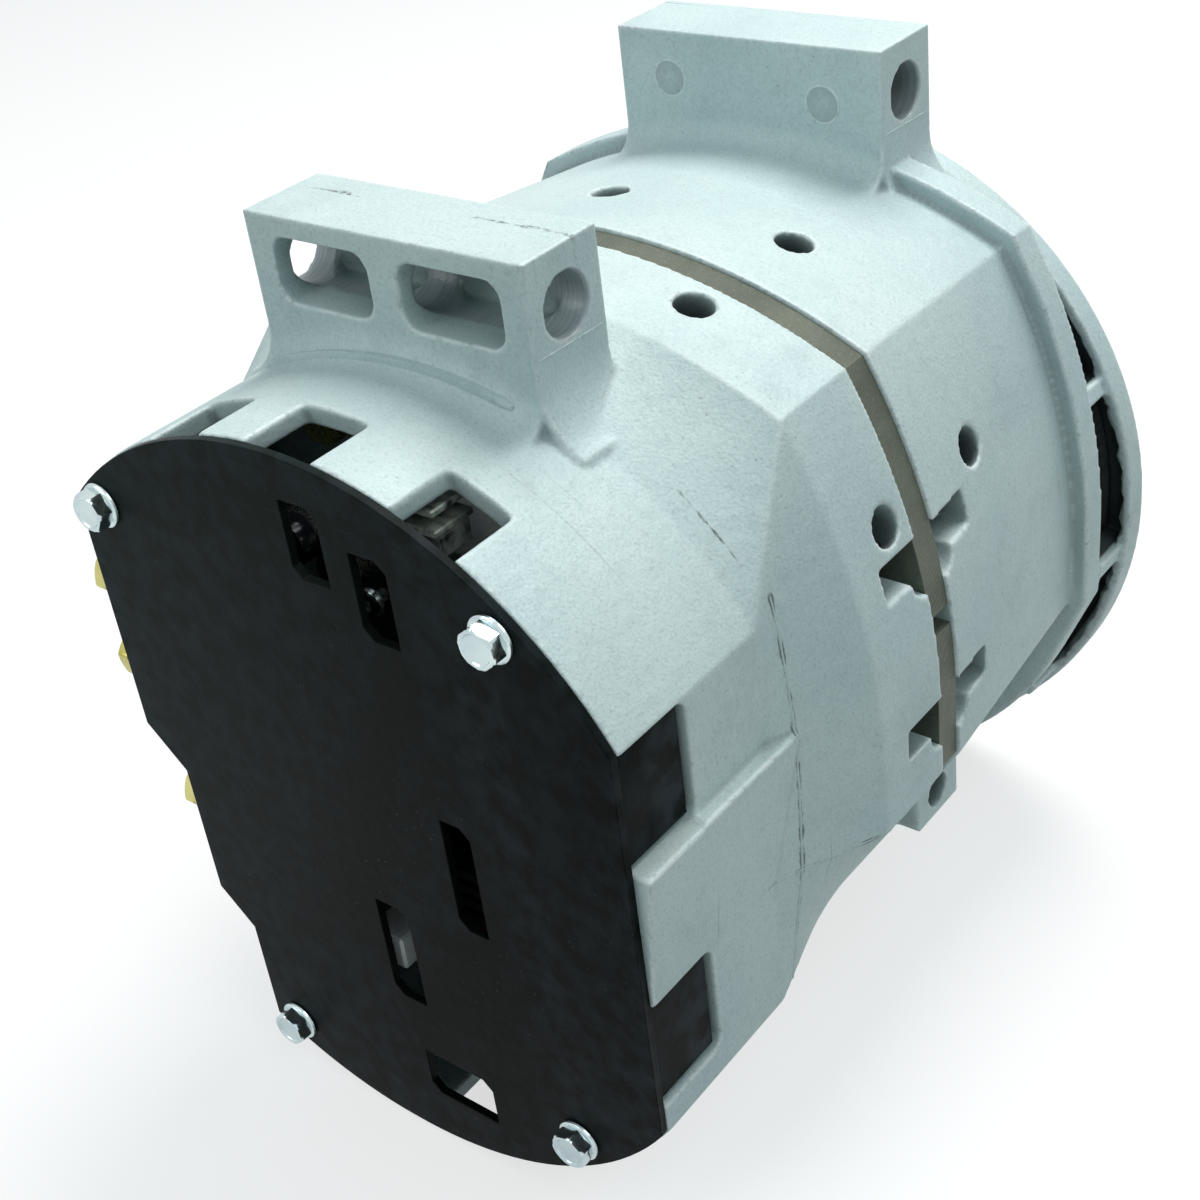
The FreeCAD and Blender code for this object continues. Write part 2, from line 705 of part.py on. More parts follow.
for place in bolt_places():
    draw_circle(sinks, place[0], place[1], size("bolt_head") / 2 + 0.6)
pocket(rear, sinks, "bolt_head_height")
add_vents(rear, "Rear", band_rear + "vent_offset")
edge_slot(rear, "RearSlotHigh", "slot_high", band_rear, "slot_length", 1)
edge_slot(rear, "RearSlotLow", "slot_low", band_rear, "slot_length", 1)
beam_rear = size("rear_beam_rear")
beam_half = size("beam_half")
half_mid = size("pocket_wall_mid") / 2
pocket_high = size("beam_top") - "pocket_top"
for number, side in enumerate([-1, 1]):
    cell = face_sketch(rear, "BeamCell%d" % number, beam_rear)
    inner = half_mid * side
    outer = (beam_half - "pocket_wall_end") * side
    left, right = (outer, inner) if side < 0 else (inner, outer)
    draw_round_box(cell, left, right, pocket_high - "pocket_height", pocket_high, "pocket_round")
    pocket(rear, cell, size("beam_depth") - "beam_back_wall", True)
bore_beam(rear, "RearBeam", "rear_beam_rear")
for number, up in enumerate(["stud_up_a", "stud_up_b", "stud_up_c"]):
    hole = new_sketch(rear, "StudHole%d" % number, "YZ_Plane", size("skirt_left_low"))
    draw_circle(hole, "stud_y", up, size("insulator_outer") / 2 - 2.5)
    pocket(rear, hole, 30, True)
doc.recompute()

# Drive end housing: tapered shell, stepped flange, webs, shroud ring, beam, hub and lug.
drive = new_body("drive_end_housing")
nose_outline = shell_outline(
    "nose_apex", "nose_corner_across", "nose_corner_up", "nose_reach", "low_draw")
shell_wide = outline_sketch(drive, "ShellWide", band_front, full_outline)
shell_narrow = outline_sketch(drive, "ShellNarrow", flange_rear, nose_outline)
loft(drive, shell_wide, shell_narrow)
lip = size("flange_lip")
flange = outline_sketch(drive, "Flange", flange_rear, shell_outline(
    size("nose_apex") + lip, size("nose_corner_across") + lip * 0.8,
    size("nose_corner_up") + lip * 0.8, size("nose_reach") + lip, "flange_draw"))
pad(drive, flange, "flange_depth")
web = new_sketch(drive, "Web", "XZ_Plane", -flange_front, size("web_turn"))
web_half = size("web_width") / 2
ring_inner = size("ring_outer") - "ring_wall"
draw_box(web, -web_half, web_half, ring_inner - 4, size("ring_outer") - 1.5)
repeat(drive, pad(drive, web, size("window_depth") + 1), "web_count")
rim = new_sketch(drive, "Rim", "YZ_Plane", 0)
draw_path(rim, [
    (ring_front, ring_inner), (ring_rear, ring_inner), (ring_rear, "ring_outer"),
    (ring_front + 2, "ring_outer"), (ring_front, size("ring_outer") - 2)])
revolve(drive, rim)
add_beam(drive, "FrontBeam", "front_beam_rear")
fillet_where(drive, front_root, "root_fillet")
add_flares(drive, "FrontBeam", "front_beam_rear")
lug = face_sketch(drive, "Lug", band_front - "lug_gap")
lug_out = size("lug_across")
draw_box(lug, -lug_out, -lug_out * 0.75, -size("lug_low"), size("lug_height") - "lug_low")
pad(drive, lug, "lug_length")
fan_room = face_sketch(drive, "FanRoom", ring_front - 1)
draw_circle(fan_room, 0, 0, ring_inner)
pocket(drive, fan_room, flange_front - ring_front + 1)
hollow = face_sketch(drive, "DriveHollow", flange_rear)
draw_circle(hollow, 0, 0, "cavity_radius")
pocket(drive, hollow, stack_front - flange_rear + 1)
register = face_sketch(drive, "DriveRegister", stack_front)
draw_circle(register, 0, 0, "stack_radius")
pocket(drive, register, size("register_depth") + 1)
front_bearing_radius = size("front_bearing_outer") / 2
front_seat = flange_front + 3
front_hub_end = front_seat + "front_bearing_width"
hub = face_sketch(drive, "FrontHub", front_hub_end)
draw_circle(hub, 0, 0, front_bearing_radius + "hub_wall")
pad(drive, hub, front_hub_end - flange_front)
seat = face_sketch(drive, "FrontSeat", front_seat)
draw_circle(seat, 0, 0, front_bearing_radius)
pocket(drive, seat, size("front_bearing_width") + 1)
throat = face_sketch(drive, "FrontThroat", flange_front - 1)
draw_circle(throat, 0, 0, size("spacer_outer") / 2 + 3)
pocket(drive, throat, front_seat - flange_front + 2)
vent = face_sketch(drive, "FrontVent", flange_front - 1)
vent_low = front_bearing_radius + "hub_wall" + 5
vent_high = size("cavity_radius") - 5
draw_path(vent, [(-8, vent_low), (8, vent_low), (14, vent_high), (-14, vent_high)])
repeat(drive, pocket(drive, vent, size("flange_depth") + 2), 8)
taps = face_sketch(drive, "DriveBoltTaps", stack_front - 30)
for place in bolt_places():
    draw_circle(taps, place[0], place[1], size("bolt_diameter") / 2)
pocket(drive, taps, 31)
screws = face_sketch(drive, "RetainerTaps", front_hub_end - 9)
for turn in (45, 135, 225, 315):
    draw_circle(screws, -(sine(turn) * "retainer_screw_ring"), cosine(turn) * "retainer_screw_ring", 2)
pocket(drive, screws, 10)
add_vents(drive, "Drive", band_front - "drive_vent_offset")
edge_slot(drive, "DriveSlotHigh", "slot_high", band_front, "slot_length", -1)
edge_slot(drive, "DriveSlotLow", "slot_low", band_front, "slot_length", -1)
lug_hole = new_sketch(drive, "LugHole", "YZ_Plane", size("lug_hole_depth") - lug_out)
lug_middle = band_front - "lug_gap" - size("lug_length") / 2
draw_circle(lug_hole, lug_middle, "lug_hole_up", size("lug_bore") / 2)
pocket(drive, lug_hole, size("lug_hole_depth") + 1)
bore_beam(drive, "FrontBeam", "front_beam_rear")
doc.recompute()


def place_on_ring(turn, radius):
    turn = size(turn)
    return -(sine(turn) * radius), cosine(turn) * radius


def draw_hexagon(sketch, across, up, flats):
    reach = size(flats) / root(size(3))
    corners = []
    for step in range(6):
        turn = size(60.0 * step)
        corners.append((size(across) + reach * cosine(turn), size(up) + reach * sine(turn)))
    draw_path(sketch, corners)


def group_body(label):
    body = new_body(label)
    body.AllowCompound = True
    return body


# Rear cover: pressed sheet with five slots and two tabs that close the side windows.
cover = new_body("rear_cover")
plate = outline_sketch(cover, "CoverPlate", cover_rear, skirt_outline("cover_inset"))
pad(cover, plate, "cover_thickness")
cuts = face_sketch(cover, "CoverCuts", rear_edge - 1)
clip = size("slot_clip")
for letter in "abcde":
    left = size("cut_%s_left" % letter)
    right = left - "cut_%s_width" % letter
    low = size("cut_%s_low" % letter)
    high = low + "cut_%s_height" % letter
    draw_path(cuts, [
        (right, low), (left - clip, low), (left, low + clip),
        (left, high), (right + clip, high), (right, high - clip)])
pocket(cover, cuts, size("cover_thickness") + 2)
tab_out = size("skirt_right") - "tab_inset"
for number, top in enumerate(["window_high_top", "window_low_top"]):
    tab = face_sketch(cover, "CoverTab%d" % number, rear_edge)
    draw_box(tab, -tab_out, -tab_out + "tab_thickness",
             size(top) - "window_height" + "tab_gap", size(top) - "tab_gap")
    pad(cover, tab, size("side_window_depth") - "tab_gap")
bores = face_sketch(cover, "CoverBores", rear_edge - 1)
for place in screw_places():
    draw_circle(bores, place[0], place[1], size("screw_thread") / 2 + "hole_clearance")
pocket(cover, bores, size("cover_thickness") + 2)
doc.recompute()

# Four cover screws with a hexagon, a round flange and a dished head.
screws = group_body("cover_screws")
flanges = face_sketch(screws, "ScrewFlange", cover_rear + "screw_flange_height")
heads = face_sketch(screws, "ScrewHead", cover_rear + "screw_head")
shanks = face_sketch(screws, "ScrewShank", cover_rear)
dishes = face_sketch(screws, "ScrewDish", cover_rear + size("screw_head") - 1.2)
for place in screw_places():
    draw_circle(flanges, place[0], place[1], size("screw_flange") / 2)
    draw_hexagon(heads, place[0], place[1], "screw_flats")
    draw_circle(shanks, place[0], place[1], size("screw_thread") / 2)
    draw_circle(dishes, place[0], place[1], size("screw_recess") / 2)
pad(screws, flanges, "screw_flange_height")
pad(screws, heads, size("screw_head"))
pad(screws, shanks, size("screw_length") - 1)
pocket(screws, dishes, 3)
doc.recompute()

# Stator core: round stack whose middle laminations reach out between the housings.
core = new_body("stator_core")
stack = face_sketch(core, "Stack", stack_rear)
draw_circle(stack, 0, 0, "stack_radius")
draw_circle(stack, 0, 0, "bore_radius")
pad(core, stack, stack_rear - stack_front)
inset = size("band_inset")
band = outline_sketch(core, "Band", band_rear, shell_outline(
    size("shell_apex") - inset, size("shell_corner_across") - inset * 0.7,
    size("shell_corner_up") - inset * 0.7, size("shell_reach") - inset, "low_draw"))
draw_circle(band, 0, 0, size("stack_radius") - 2)
pad(core, band, "band_width")
tooth = face_sketch(core, "ToothSlot", stack_front - 1)
tooth_half = size("tooth_slot_width") / 2
draw_box(tooth, -tooth_half, tooth_half, size("bore_radius") - 2, size("bore_radius") + "tooth_slot_depth")
repeat(core, pocket(core, tooth, stack_rear - stack_front + 2), "slot_count")
eyes = face_sketch(core, "StackEyes", stack_front - 1)
for place in bolt_places():
    draw_circle(eyes, place[0], place[1], size("bolt_diameter") / 2 + "hole_clearance")
pocket(core, eyes, stack_rear - stack_front + 2)
nick = face_sketch(core, "BandNick", band_front - 1)
nick_low = size("nick_low")
draw_box(nick, -size("shell_reach") - 3, -size("shell_reach") + 7, nick_low, nick_low + "nick_height")
pocket(core, nick, size("band_width") + 2)
doc.recompute()

# Stator winding: two end turn rings joined by a conductor bar in every slot.
winding = new_body("stator_winding")
turns = new_sketch(winding, "Turns", "YZ_Plane", 0)
turn_low = size("bore_radius") + 1.5
turn_high = size("bore_radius") + "tooth_slot_depth" - 0.6
gap = size("bar_gap")
front_end = stack_front - "front_turns"
rear_end = stack_rear + "rear_turns"
draw_path(turns, [
    (front_end, turn_low + 3), (front_end + 3, turn_low), (stack_front - gap, turn_low),
    (stack_front - gap, turn_high), (front_end + 3, turn_high), (front_end, turn_high - 3)])
draw_path(turns, [
    (stack_rear + gap, turn_low), (rear_end - 3, turn_low), (rear_end, turn_low + 3),
    (rear_end, turn_high - 3), (rear_end - 3, turn_high), (stack_rear + gap, turn_high)])
winding.AllowCompound = True
revolve(winding, turns)
bar = face_sketch(winding, "Bar", stack_rear + 2)
draw_box(bar, gap - tooth_half, tooth_half - gap, turn_low + 0.5, turn_high - 0.5)
repeat(winding, pad(winding, bar, stack_rear - stack_front + 4), "slot_count")
doc.recompute()

# Through bolts that clamp the two housings on the stator stack.
bolts = group_body("through_bolts")
bolt_end = stack_front - "bolt_grip"
bolt_heads = face_sketch(bolts, "BoltHead", partition_rear + "bolt_head_height")
bolt_shanks = face_sketch(bolts, "BoltShank", partition_rear + 1)
for place in bolt_places():
    draw_hexagon(bolt_heads, place[0], place[1], size("bolt_head") - 1)
    draw_circle(bolt_shanks, place[0], place[1], size("bolt_diameter") / 2)
pad(bolts, bolt_heads, "bolt_head_height")
pad(bolts, bolt_shanks, partition_rear + 1 - bolt_end)
doc.recompute()

# Shaft with keyed pulley seat, thread, bearing seats, rotor seat and slip ring end.
pin_radius = size("pin_diameter") / 2
front_bore = size("front_bearing_bore") / 2
rear_bore = size("rear_bearing_bore") / 2
rotor_bore = size("rotor_seat") / 2
thread = size("thread_diameter") / 2
slip_start = rear_hub_end + 1
slip_end = slip_start + size("slip_width") * 2 + size("slip_space") + 4
tip = -(size("pin_length") + "thread_length")
front_inner_end = front_seat + "front_bearing_width"
shaft = new_body("rotor_shaft")
profile = new_sketch(shaft, "ShaftProfile", "YZ_Plane", 0)
draw_path(profile, [
    (tip, 0), (slip_end, 0), (slip_end, "slip_shaft"), (slip_start, "slip_shaft"),
    (slip_start, rear_bore), (rear_seat, rear_bore), (rear_seat, rear_bore + 3),
    (rotor_rear, rear_bore + 3), (rotor_rear, rotor_bore), (front_inner_end, rotor_bore),
    (front_inner_end, front_bore), ("relief_width", front_bore),
    ("relief_width", pin_radius - "relief_depth"), (0, pin_radius - "relief_depth"),
    (0, pin_radius), (-size("pin_length"), pin_radius), (-size("pin_length"), thread), (tip + 1.5, thread),
    (tip, thread - 1.5)])
revolve(shaft, profile)
keyway_half = size("keyway_width") / 2
keyway_start = -size("pin_length") + 6
keyway = new_sketch(shaft, "Keyway", "XY_Plane", pin_radius + 1)
draw_box(keyway, -keyway_half, keyway_half, keyway_start, keyway_start + "keyway_length")
pocket(shaft, keyway, size("keyway_depth") + 1)
doc.recompute()

# Spacer that carries the pulley's thrust to the fan and the front bearing.
spacer_end = size("spacer_length")
turned("front_spacer", 0, [
    (0, front_bore), (spacer_end, front_bore), (spacer_end, size("spacer_outer") / 2),
    (1, size("spacer_outer") / 2), (0, size("spacer_outer") / 2 - 1)])

# Fan: hub, disc and bent blades that throw air through the shroud windows.
fan = new_body("cooling_fan")
hub_radius = front_bore + 5.5
fan_sketch = new_sketch(fan, "FanProfile", "YZ_Plane", 0)
disc_rear = spacer_end + "fan_thickness"
draw_path(fan_sketch, [
    (spacer_end, front_bore), (front_seat, front_bore), (front_seat, hub_radius),
    (disc_rear, hub_radius), (disc_rear, "fan_radius"), (spacer_end, "fan_radius")])
revolve(fan, fan_sketch)
blade = face_sketch(fan, "FanBlade", disc_rear + "fan_blade_height")
fan_radius = size("fan_radius")
draw_path(blade, [
    (-1, fan_radius * 0.5), (2, fan_radius * 0.5), (8, fan_radius * 0.75),
    (17, fan_radius * 0.95), (14, fan_radius * 0.965), (5, fan_radius * 0.76)])
repeat(fan, pad(fan, blade, size("fan_blade_height") + 1), "fan_blades")
doc.recompute()


def bearing(name, station, bore, outer, width, ball, land):
    """Deep groove ball bearing: two rings, a cage and its balls."""
    bore, outer, width = size(bore) / 2, size(outer) / 2, size(width)
    ball, land = size(ball), size(land)
    pitch = (bore + outer) / 2
    groove = ball + 0.06
    middle = width / 2
    inner_land = pitch - land
    outer_land = pitch + land
    half = other_leg(groove, land)
    inner = new_body(name + "_inner_ring")
    sketch = new_sketch(inner, name + "Inner", "YZ_Plane", 0)
    draw_path(sketch, [
        (0, bore), (width, bore), (width, inner_land), (middle + half, inner_land),
        (middle - half, inner_land), (0, inner_land)], {3: (groove, -1)})
    revolve(inner, sketch)
    at_station(inner, station)
    ring = new_body(name + "_outer_ring")
    sketch = new_sketch(ring, name + "Outer", "YZ_Plane", 0)
    draw_path(sketch, [
        (0, outer_land), (middle - half, outer_land), (middle + half, outer_land),
        (width, outer_land), (width, outer), (0, outer)], {1: (groove, -1)})
    revolve(ring, sketch)
    at_station(ring, station)
    balls = group_body(name + "_balls")
    sketch = new_sketch(balls, name + "Ball", "YZ_Plane", 0)
    draw_path(sketch, [(middle - ball, pitch), (middle + ball, pitch), (middle, pitch + ball)],
              {1: (ball, 1), 2: (ball, 1)})
    feature = balls.newObject("PartDesign::Revolution", name + "BallTurned")
    feature.Profile = sketch
    feature.ReferenceAxis = (sketch, ["Edge1"])
    feature.Angle = 360
    balls.Tip = feature
    repeat(balls, feature, 8)
    at_station(balls, station)
    cage = new_body(name + "_cage")
    sketch = new_sketch(cage, name + "Cage", "YZ_Plane", 0)
    thin = land - 0.5
    reach = ball + 1.2
    draw_path(sketch, ring_profile(middle - reach, middle + reach, pitch - thin, pitch + thin))
    revolve(cage, sketch)
    sketch = new_sketch(cage, name + "CagePocket", "XY_Plane", 0)
    draw_circle(sketch, 0, middle, ball + 0.12)
    repeat(cage, pocket(cage, sketch, outer, True), 8)
    at_station(cage, station)
    doc.recompute()


bearing("front_bearing", front_seat, "front_bearing_bore", "front_bearing_outer",
        "front_bearing_width", "front_ball", "front_land")
bearing("rear_bearing", rear_seat, "rear_bearing_bore", "rear_bearing_outer",
        "rear_bearing_width", "rear_ball", "rear_land")

# Retainer plate that holds the front bearing in its hub, and its screws.
retainer = new_body("bearing_retainer")
disc = face_sketch(retainer, "RetainerDisc", front_hub_end + "retainer_thickness")
draw_circle(disc, 0, 0, "retainer_radius")
draw_circle(disc, 0, 0, rotor_bore + 4)
pad(retainer, disc, "retainer_thickness")
eyes = face_sketch(retainer, "RetainerEyes", front_hub_end - 1)
retainer_screws = group_body("retainer_screws")
head_sketch = face_sketch(retainer_screws, "RetainerHead", front_hub_end + "retainer_thickness" + 2.5)
shank_sketch = face_sketch(retainer_screws, "RetainerShank", front_hub_end + "retainer_thickness")
for turn in (45, 135, 225, 315):
    across, up = place_on_ring(turn, "retainer_screw_ring")
    draw_circle(eyes, across, up, 2.2)
    draw_circle(head_sketch, across, up, 3.6)
    draw_circle(shank_sketch, across, up, 2)
pocket(retainer, eyes, size("retainer_thickness") + 2)
pad(retainer_screws, head_sketch, 2.5)
pad(retainer_screws, shank_sketch, size("retainer_thickness") + 8)
doc.recompute()


def claw_pole(label, station, flipped):
    """Pole piece with tapered claws that reach over the field coil."""
    body = new_body(label)
    skin = size("bore_radius") - "air_gap"
    disc = size("claw_disc")
    reach = size("rotor_length") - 8
    sketch = new_sketch(body, label + "Profile", "YZ_Plane", 0)
    draw_path(sketch, [
        (0, rotor_bore), (disc, rotor_bore), (disc, skin - "claw_skin"),
        (reach, skin - "claw_tip_skin"), (reach, skin - 1.5), (reach - 2, skin),
        (5, skin), (0, skin - 6)])
    revolve(body, sketch)
    pitch = skin * (2 * math.pi) / "claw_count"
    root_gap = pitch / 2 - "claw_root"
    tip_gap = pitch / 2 - "claw_tip"
    sketch = new_sketch(body, label + "Gap", "XY_Plane", size("core_radius") + 1)
    draw_path(sketch, [(-root_gap, disc), (root_gap, disc), (tip_gap, reach + 1), (-tip_gap, reach + 1)])
    repeat(body, pocket(body, sketch, skin, True), "claw_count")
    sketch = new_sketch(body, label + "Valley", "XY_Plane", "claw_valley")
    valley = root_gap - 3
    draw_path(sketch, [(-valley, -1), (valley, -1), (valley, disc + 1), (-valley, disc + 1)])
    repeat(body, pocket(body, sketch, skin, True), "claw_count")
    if flipped:
        half_pitch = 180.0 / size("claw_count").value
        around = FreeCAD.Rotation(FreeCAD.Vector(0, 1, 0), half_pitch)
        about = FreeCAD.Rotation(FreeCAD.Vector(0, 0, 1), 180)
        body.Placement = FreeCAD.Placement(FreeCAD.Vector(0, 0, 0), about.multiply(around))
    at_station(body, station)
    doc.recompute()


claw_pole("front_claw_pole", rotor_front, False)
claw_pole("rear_claw_pole", rotor_rear, True)
core_start = rotor_front + "claw_disc"
core_length = size("rotor_length") - size("claw_disc") * 2
turned("rotor_core", core_start, ring_profile(0, core_length, rotor_bore, "core_radius"))
bobbin_wall = size(1.5)
turned("coil_bobbin", core_start, [
    (0, "core_radius"), (core_length, "core_radius"), (core_length, "coil_radius"),
    (core_length - bobbin_wall, "coil_radius"),
    (core_length - bobbin_wall, size("core_radius") + bobbin_wall),
    (bobbin_wall, size("core_radius") + bobbin_wall), (bobbin_wall, "coil_radius"),
    (0, "coil_radius")])
turned("field_coil", core_start + bobbin_wall,
       ring_profile(0, core_length - bobbin_wall * 2, size("core_radius") + bobbin_wall,
                    size("coil_radius") - "coil_gap"))

# Slip rings on their moulded sleeve.
slip_total = slip_end - slip_start - 1
turned("slip_ring_sleeve", slip_start, ring_profile(0, slip_total, "slip_shaft", "slip_sleeve"))
rings = group_body("slip_rings")
sketch = new_sketch(rings, "SlipRings", "YZ_Plane", 0)
slip_pitch = size("slip_width") + "slip_space"
for number in range(2):
    start = slip_pitch * number + 1
    draw_path(sketch, ring_profile(start, start + "slip_width", "slip_sleeve", "slip_radius"))
revolve(rings, sketch)
at_station(rings, slip_start)
doc.recompute()

# Brush holder above the slip rings with its two brushes and springs.
holder = new_body("brush_holder")
holder_low = size("slip_radius") + 3
holder_start = rear_hub_end
holder_end = slip_start + slip_total + 1
box = face_sketch(holder, "HolderBox", holder_end)
draw_box(box, -size("holder_half"), "holder_half", holder_low, "holder_top")
pad(holder, box, holder_end - holder_start)
brushes = group_body("carbon_brushes")
springs = group_body("brush_springs")
cavity = new_sketch(holder, "BrushCavity", "XY_Plane", holder_low - 1)
block = new_sketch(brushes, "BrushBlock", "XY_Plane", size("slip_radius") + "brush_gap")
coil = new_sketch(springs, "SpringTube", "XY_Plane", size("slip_radius") + "brush_gap" + "brush_length")
brush_half = size("brush_width") / 2
for number in range(2):
    middle = slip_start + 1 + slip_pitch * number + size("slip_width") / 2
    draw_box(cavity, -brush_half - "brush_gap", brush_half + "brush_gap",
             middle - 3.3, middle + 3.3)
    draw_box(block, -brush_half, brush_half, middle - 3, middle + 3)
    draw_circle(coil, 0, middle, 2)
    draw_circle(coil, 0, middle, 1.3)
cavity_height = size("brush_length") + 3
pocket(holder, cavity, cavity_height, True)
pad(brushes, block, "brush_length")
pad(springs, coil, holder_low - 1 + cavity_height - size("slip_radius") - "brush_gap" - "brush_length")
doc.recompute()

# Voltage regulator block with cooling grooves and its potted circuit.
regulator = new_body("voltage_regulator")
regulator_rear = partition_rear + "regulator_depth"
box = face_sketch(regulator, "RegulatorBox", regulator_rear)
draw_box(box, "regulator_right", "regulator_left", "regulator_bottom", "regulator_top")
pad(regulator, box, "regulator_depth")
grooves = face_sketch(regulator, "RegulatorGrooves", regulator_rear + 1)
for number in range(3):
    high = size("regulator_top") - 2.5 - number * 4.2
    draw_box(grooves, size("regulator_right") - 1, size("regulator_left") + 1, high - 2, high)
pocket(regulator, grooves, 7, True)
potting = new_body("regulator_potting")
box = face_sketch(potting, "PottingBox", regulator_rear + 3)
draw_round_box(box, size("regulator_right") + 4, size("regulator_left") - 4,
               size("regulator_bottom") + 3, size("regulator_top") - 15, 2)
pad(potting, box, 3)

# Suppression capacitor standing on the partition.
capacitor = new_body("suppression_capacitor")
can = face_sketch(capacitor, "CapacitorCan", partition_rear + "capacitor_length")
capacitor_across = -(size("skirt_right") - "skirt_wall" - "capacitor_radius" - 1)
draw_circle(can, capacitor_across, -16, "capacitor_radius")
pad(capacitor, can, "capacitor_length")
doc.recompute()


def sector(sketch, inner, outer, half_angle):
    """Ring sector that is centred on the top."""
    inner, outer, half_angle = size(inner), size(outer), size(half_angle)
    low = (sine(half_angle), cosine(half_angle))
    draw_path(sketch, [
        (-(low[0] * inner), low[1] * inner), (-(low[0] * outer), low[1] * outer),
        (0, outer), (low[0] * outer, low[1] * outer),
        (low[0] * inner, low[1] * inner), (0, inner)],
        {1: (outer, -1), 2: (outer, -1), 4: (inner, 1), 5: (inner, 1)})


# Rectifier: earthed sink on the partition, insulated finned sink above it, press fit diodes.
minus_rear = partition_rear + "minus_thickness"
plus_front = minus_rear + "sink_space"
plus_rear = plus_front + "plus_thickness"
diode_radius = size("diode_diameter") / 2
MINUS_TURNS = (-40, 0, 40)
PLUS_TURNS = (-22, 0, 22)
minus = new_body("negative_heat_sink")
sketch = face_sketch(minus, "MinusSector", minus_rear)
sector(sketch, "sink_inner", "sink_outer", "sink_half_angle")
pad(minus, sketch, "minus_thickness")
minus_diodes = group_body("negative_diodes")
cups = face_sketch(minus, "MinusCups", partition_rear - 1)
cans = face_sketch(minus_diodes, "MinusCans", minus_rear + 2)
leads = face_sketch(minus_diodes, "MinusLeads", minus_rear + "diode_height")
for turn in MINUS_TURNS:
    across, up = place_on_ring(turn, "diode_ring")
    draw_circle(cups, across, up, diode_radius)
    draw_circle(cans, across, up, diode_radius)
    draw_circle(leads, across, up, 1.2)
pocket(minus, cups, size("minus_thickness") + 2)
pad(minus_diodes, cans, size("minus_thickness") + 2)
pad(minus_diodes, leads, size("diode_height") - 1)
plus = new_body("positive_heat_sink")
sketch = face_sketch(plus, "PlusSector", plus_rear)
sector(sketch, "sink_inner", "plus_outer", "plus_half_angle")
pad(plus, sketch, "plus_thickness")
plus_diodes = group_body("positive_diodes")
cups = face_sketch(plus, "PlusCups", plus_front - 1)
cans = face_sketch(plus_diodes, "PlusCans", plus_rear)
leads = face_sketch(plus_diodes, "PlusLeads", plus_front)
for turn in PLUS_TURNS:
    across, up = place_on_ring(turn, size("diode_ring") + 4)
    draw_circle(cups, across, up, diode_radius)
    draw_circle(cans, across, up, diode_radius)
    draw_circle(leads, across, up, 1.2)
pocket(plus, cups, size("plus_thickness") + 2)
pad(plus_diodes, cans, size("plus_thickness"))
pad(plus_diodes, leads, 6)
fin = size("fin_width")
for number, turn in enumerate((25.5, 2.5, -17.5)):
    ribs = new_sketch(plus, "Chevrons%d" % number, "XY_Plane", size("plus_outer") - 1.2, size(-turn))
    for step in range(2):
        start = plus_front + 0.4 + step * 4.4
        draw_path(ribs, [
            (-4.6, start), (0, start + 3.6), (4.6, start),
            (4.6, start + fin), (0, start + 3.6 + fin), (-4.6, start + fin)])
    pad(plus, ribs, size("fin_height") + 1.2)
posts = group_body("heat_sink_posts")
sketch = face_sketch(posts, "Posts", plus_front)
for turn in (-20, 20):
    across, up = place_on_ring(turn, size("sink_inner") + 5)
    draw_circle(sketch, across, up, size("spacer_tube") / 2)
pad(posts, sketch, "sink_space")
doc.recompute()

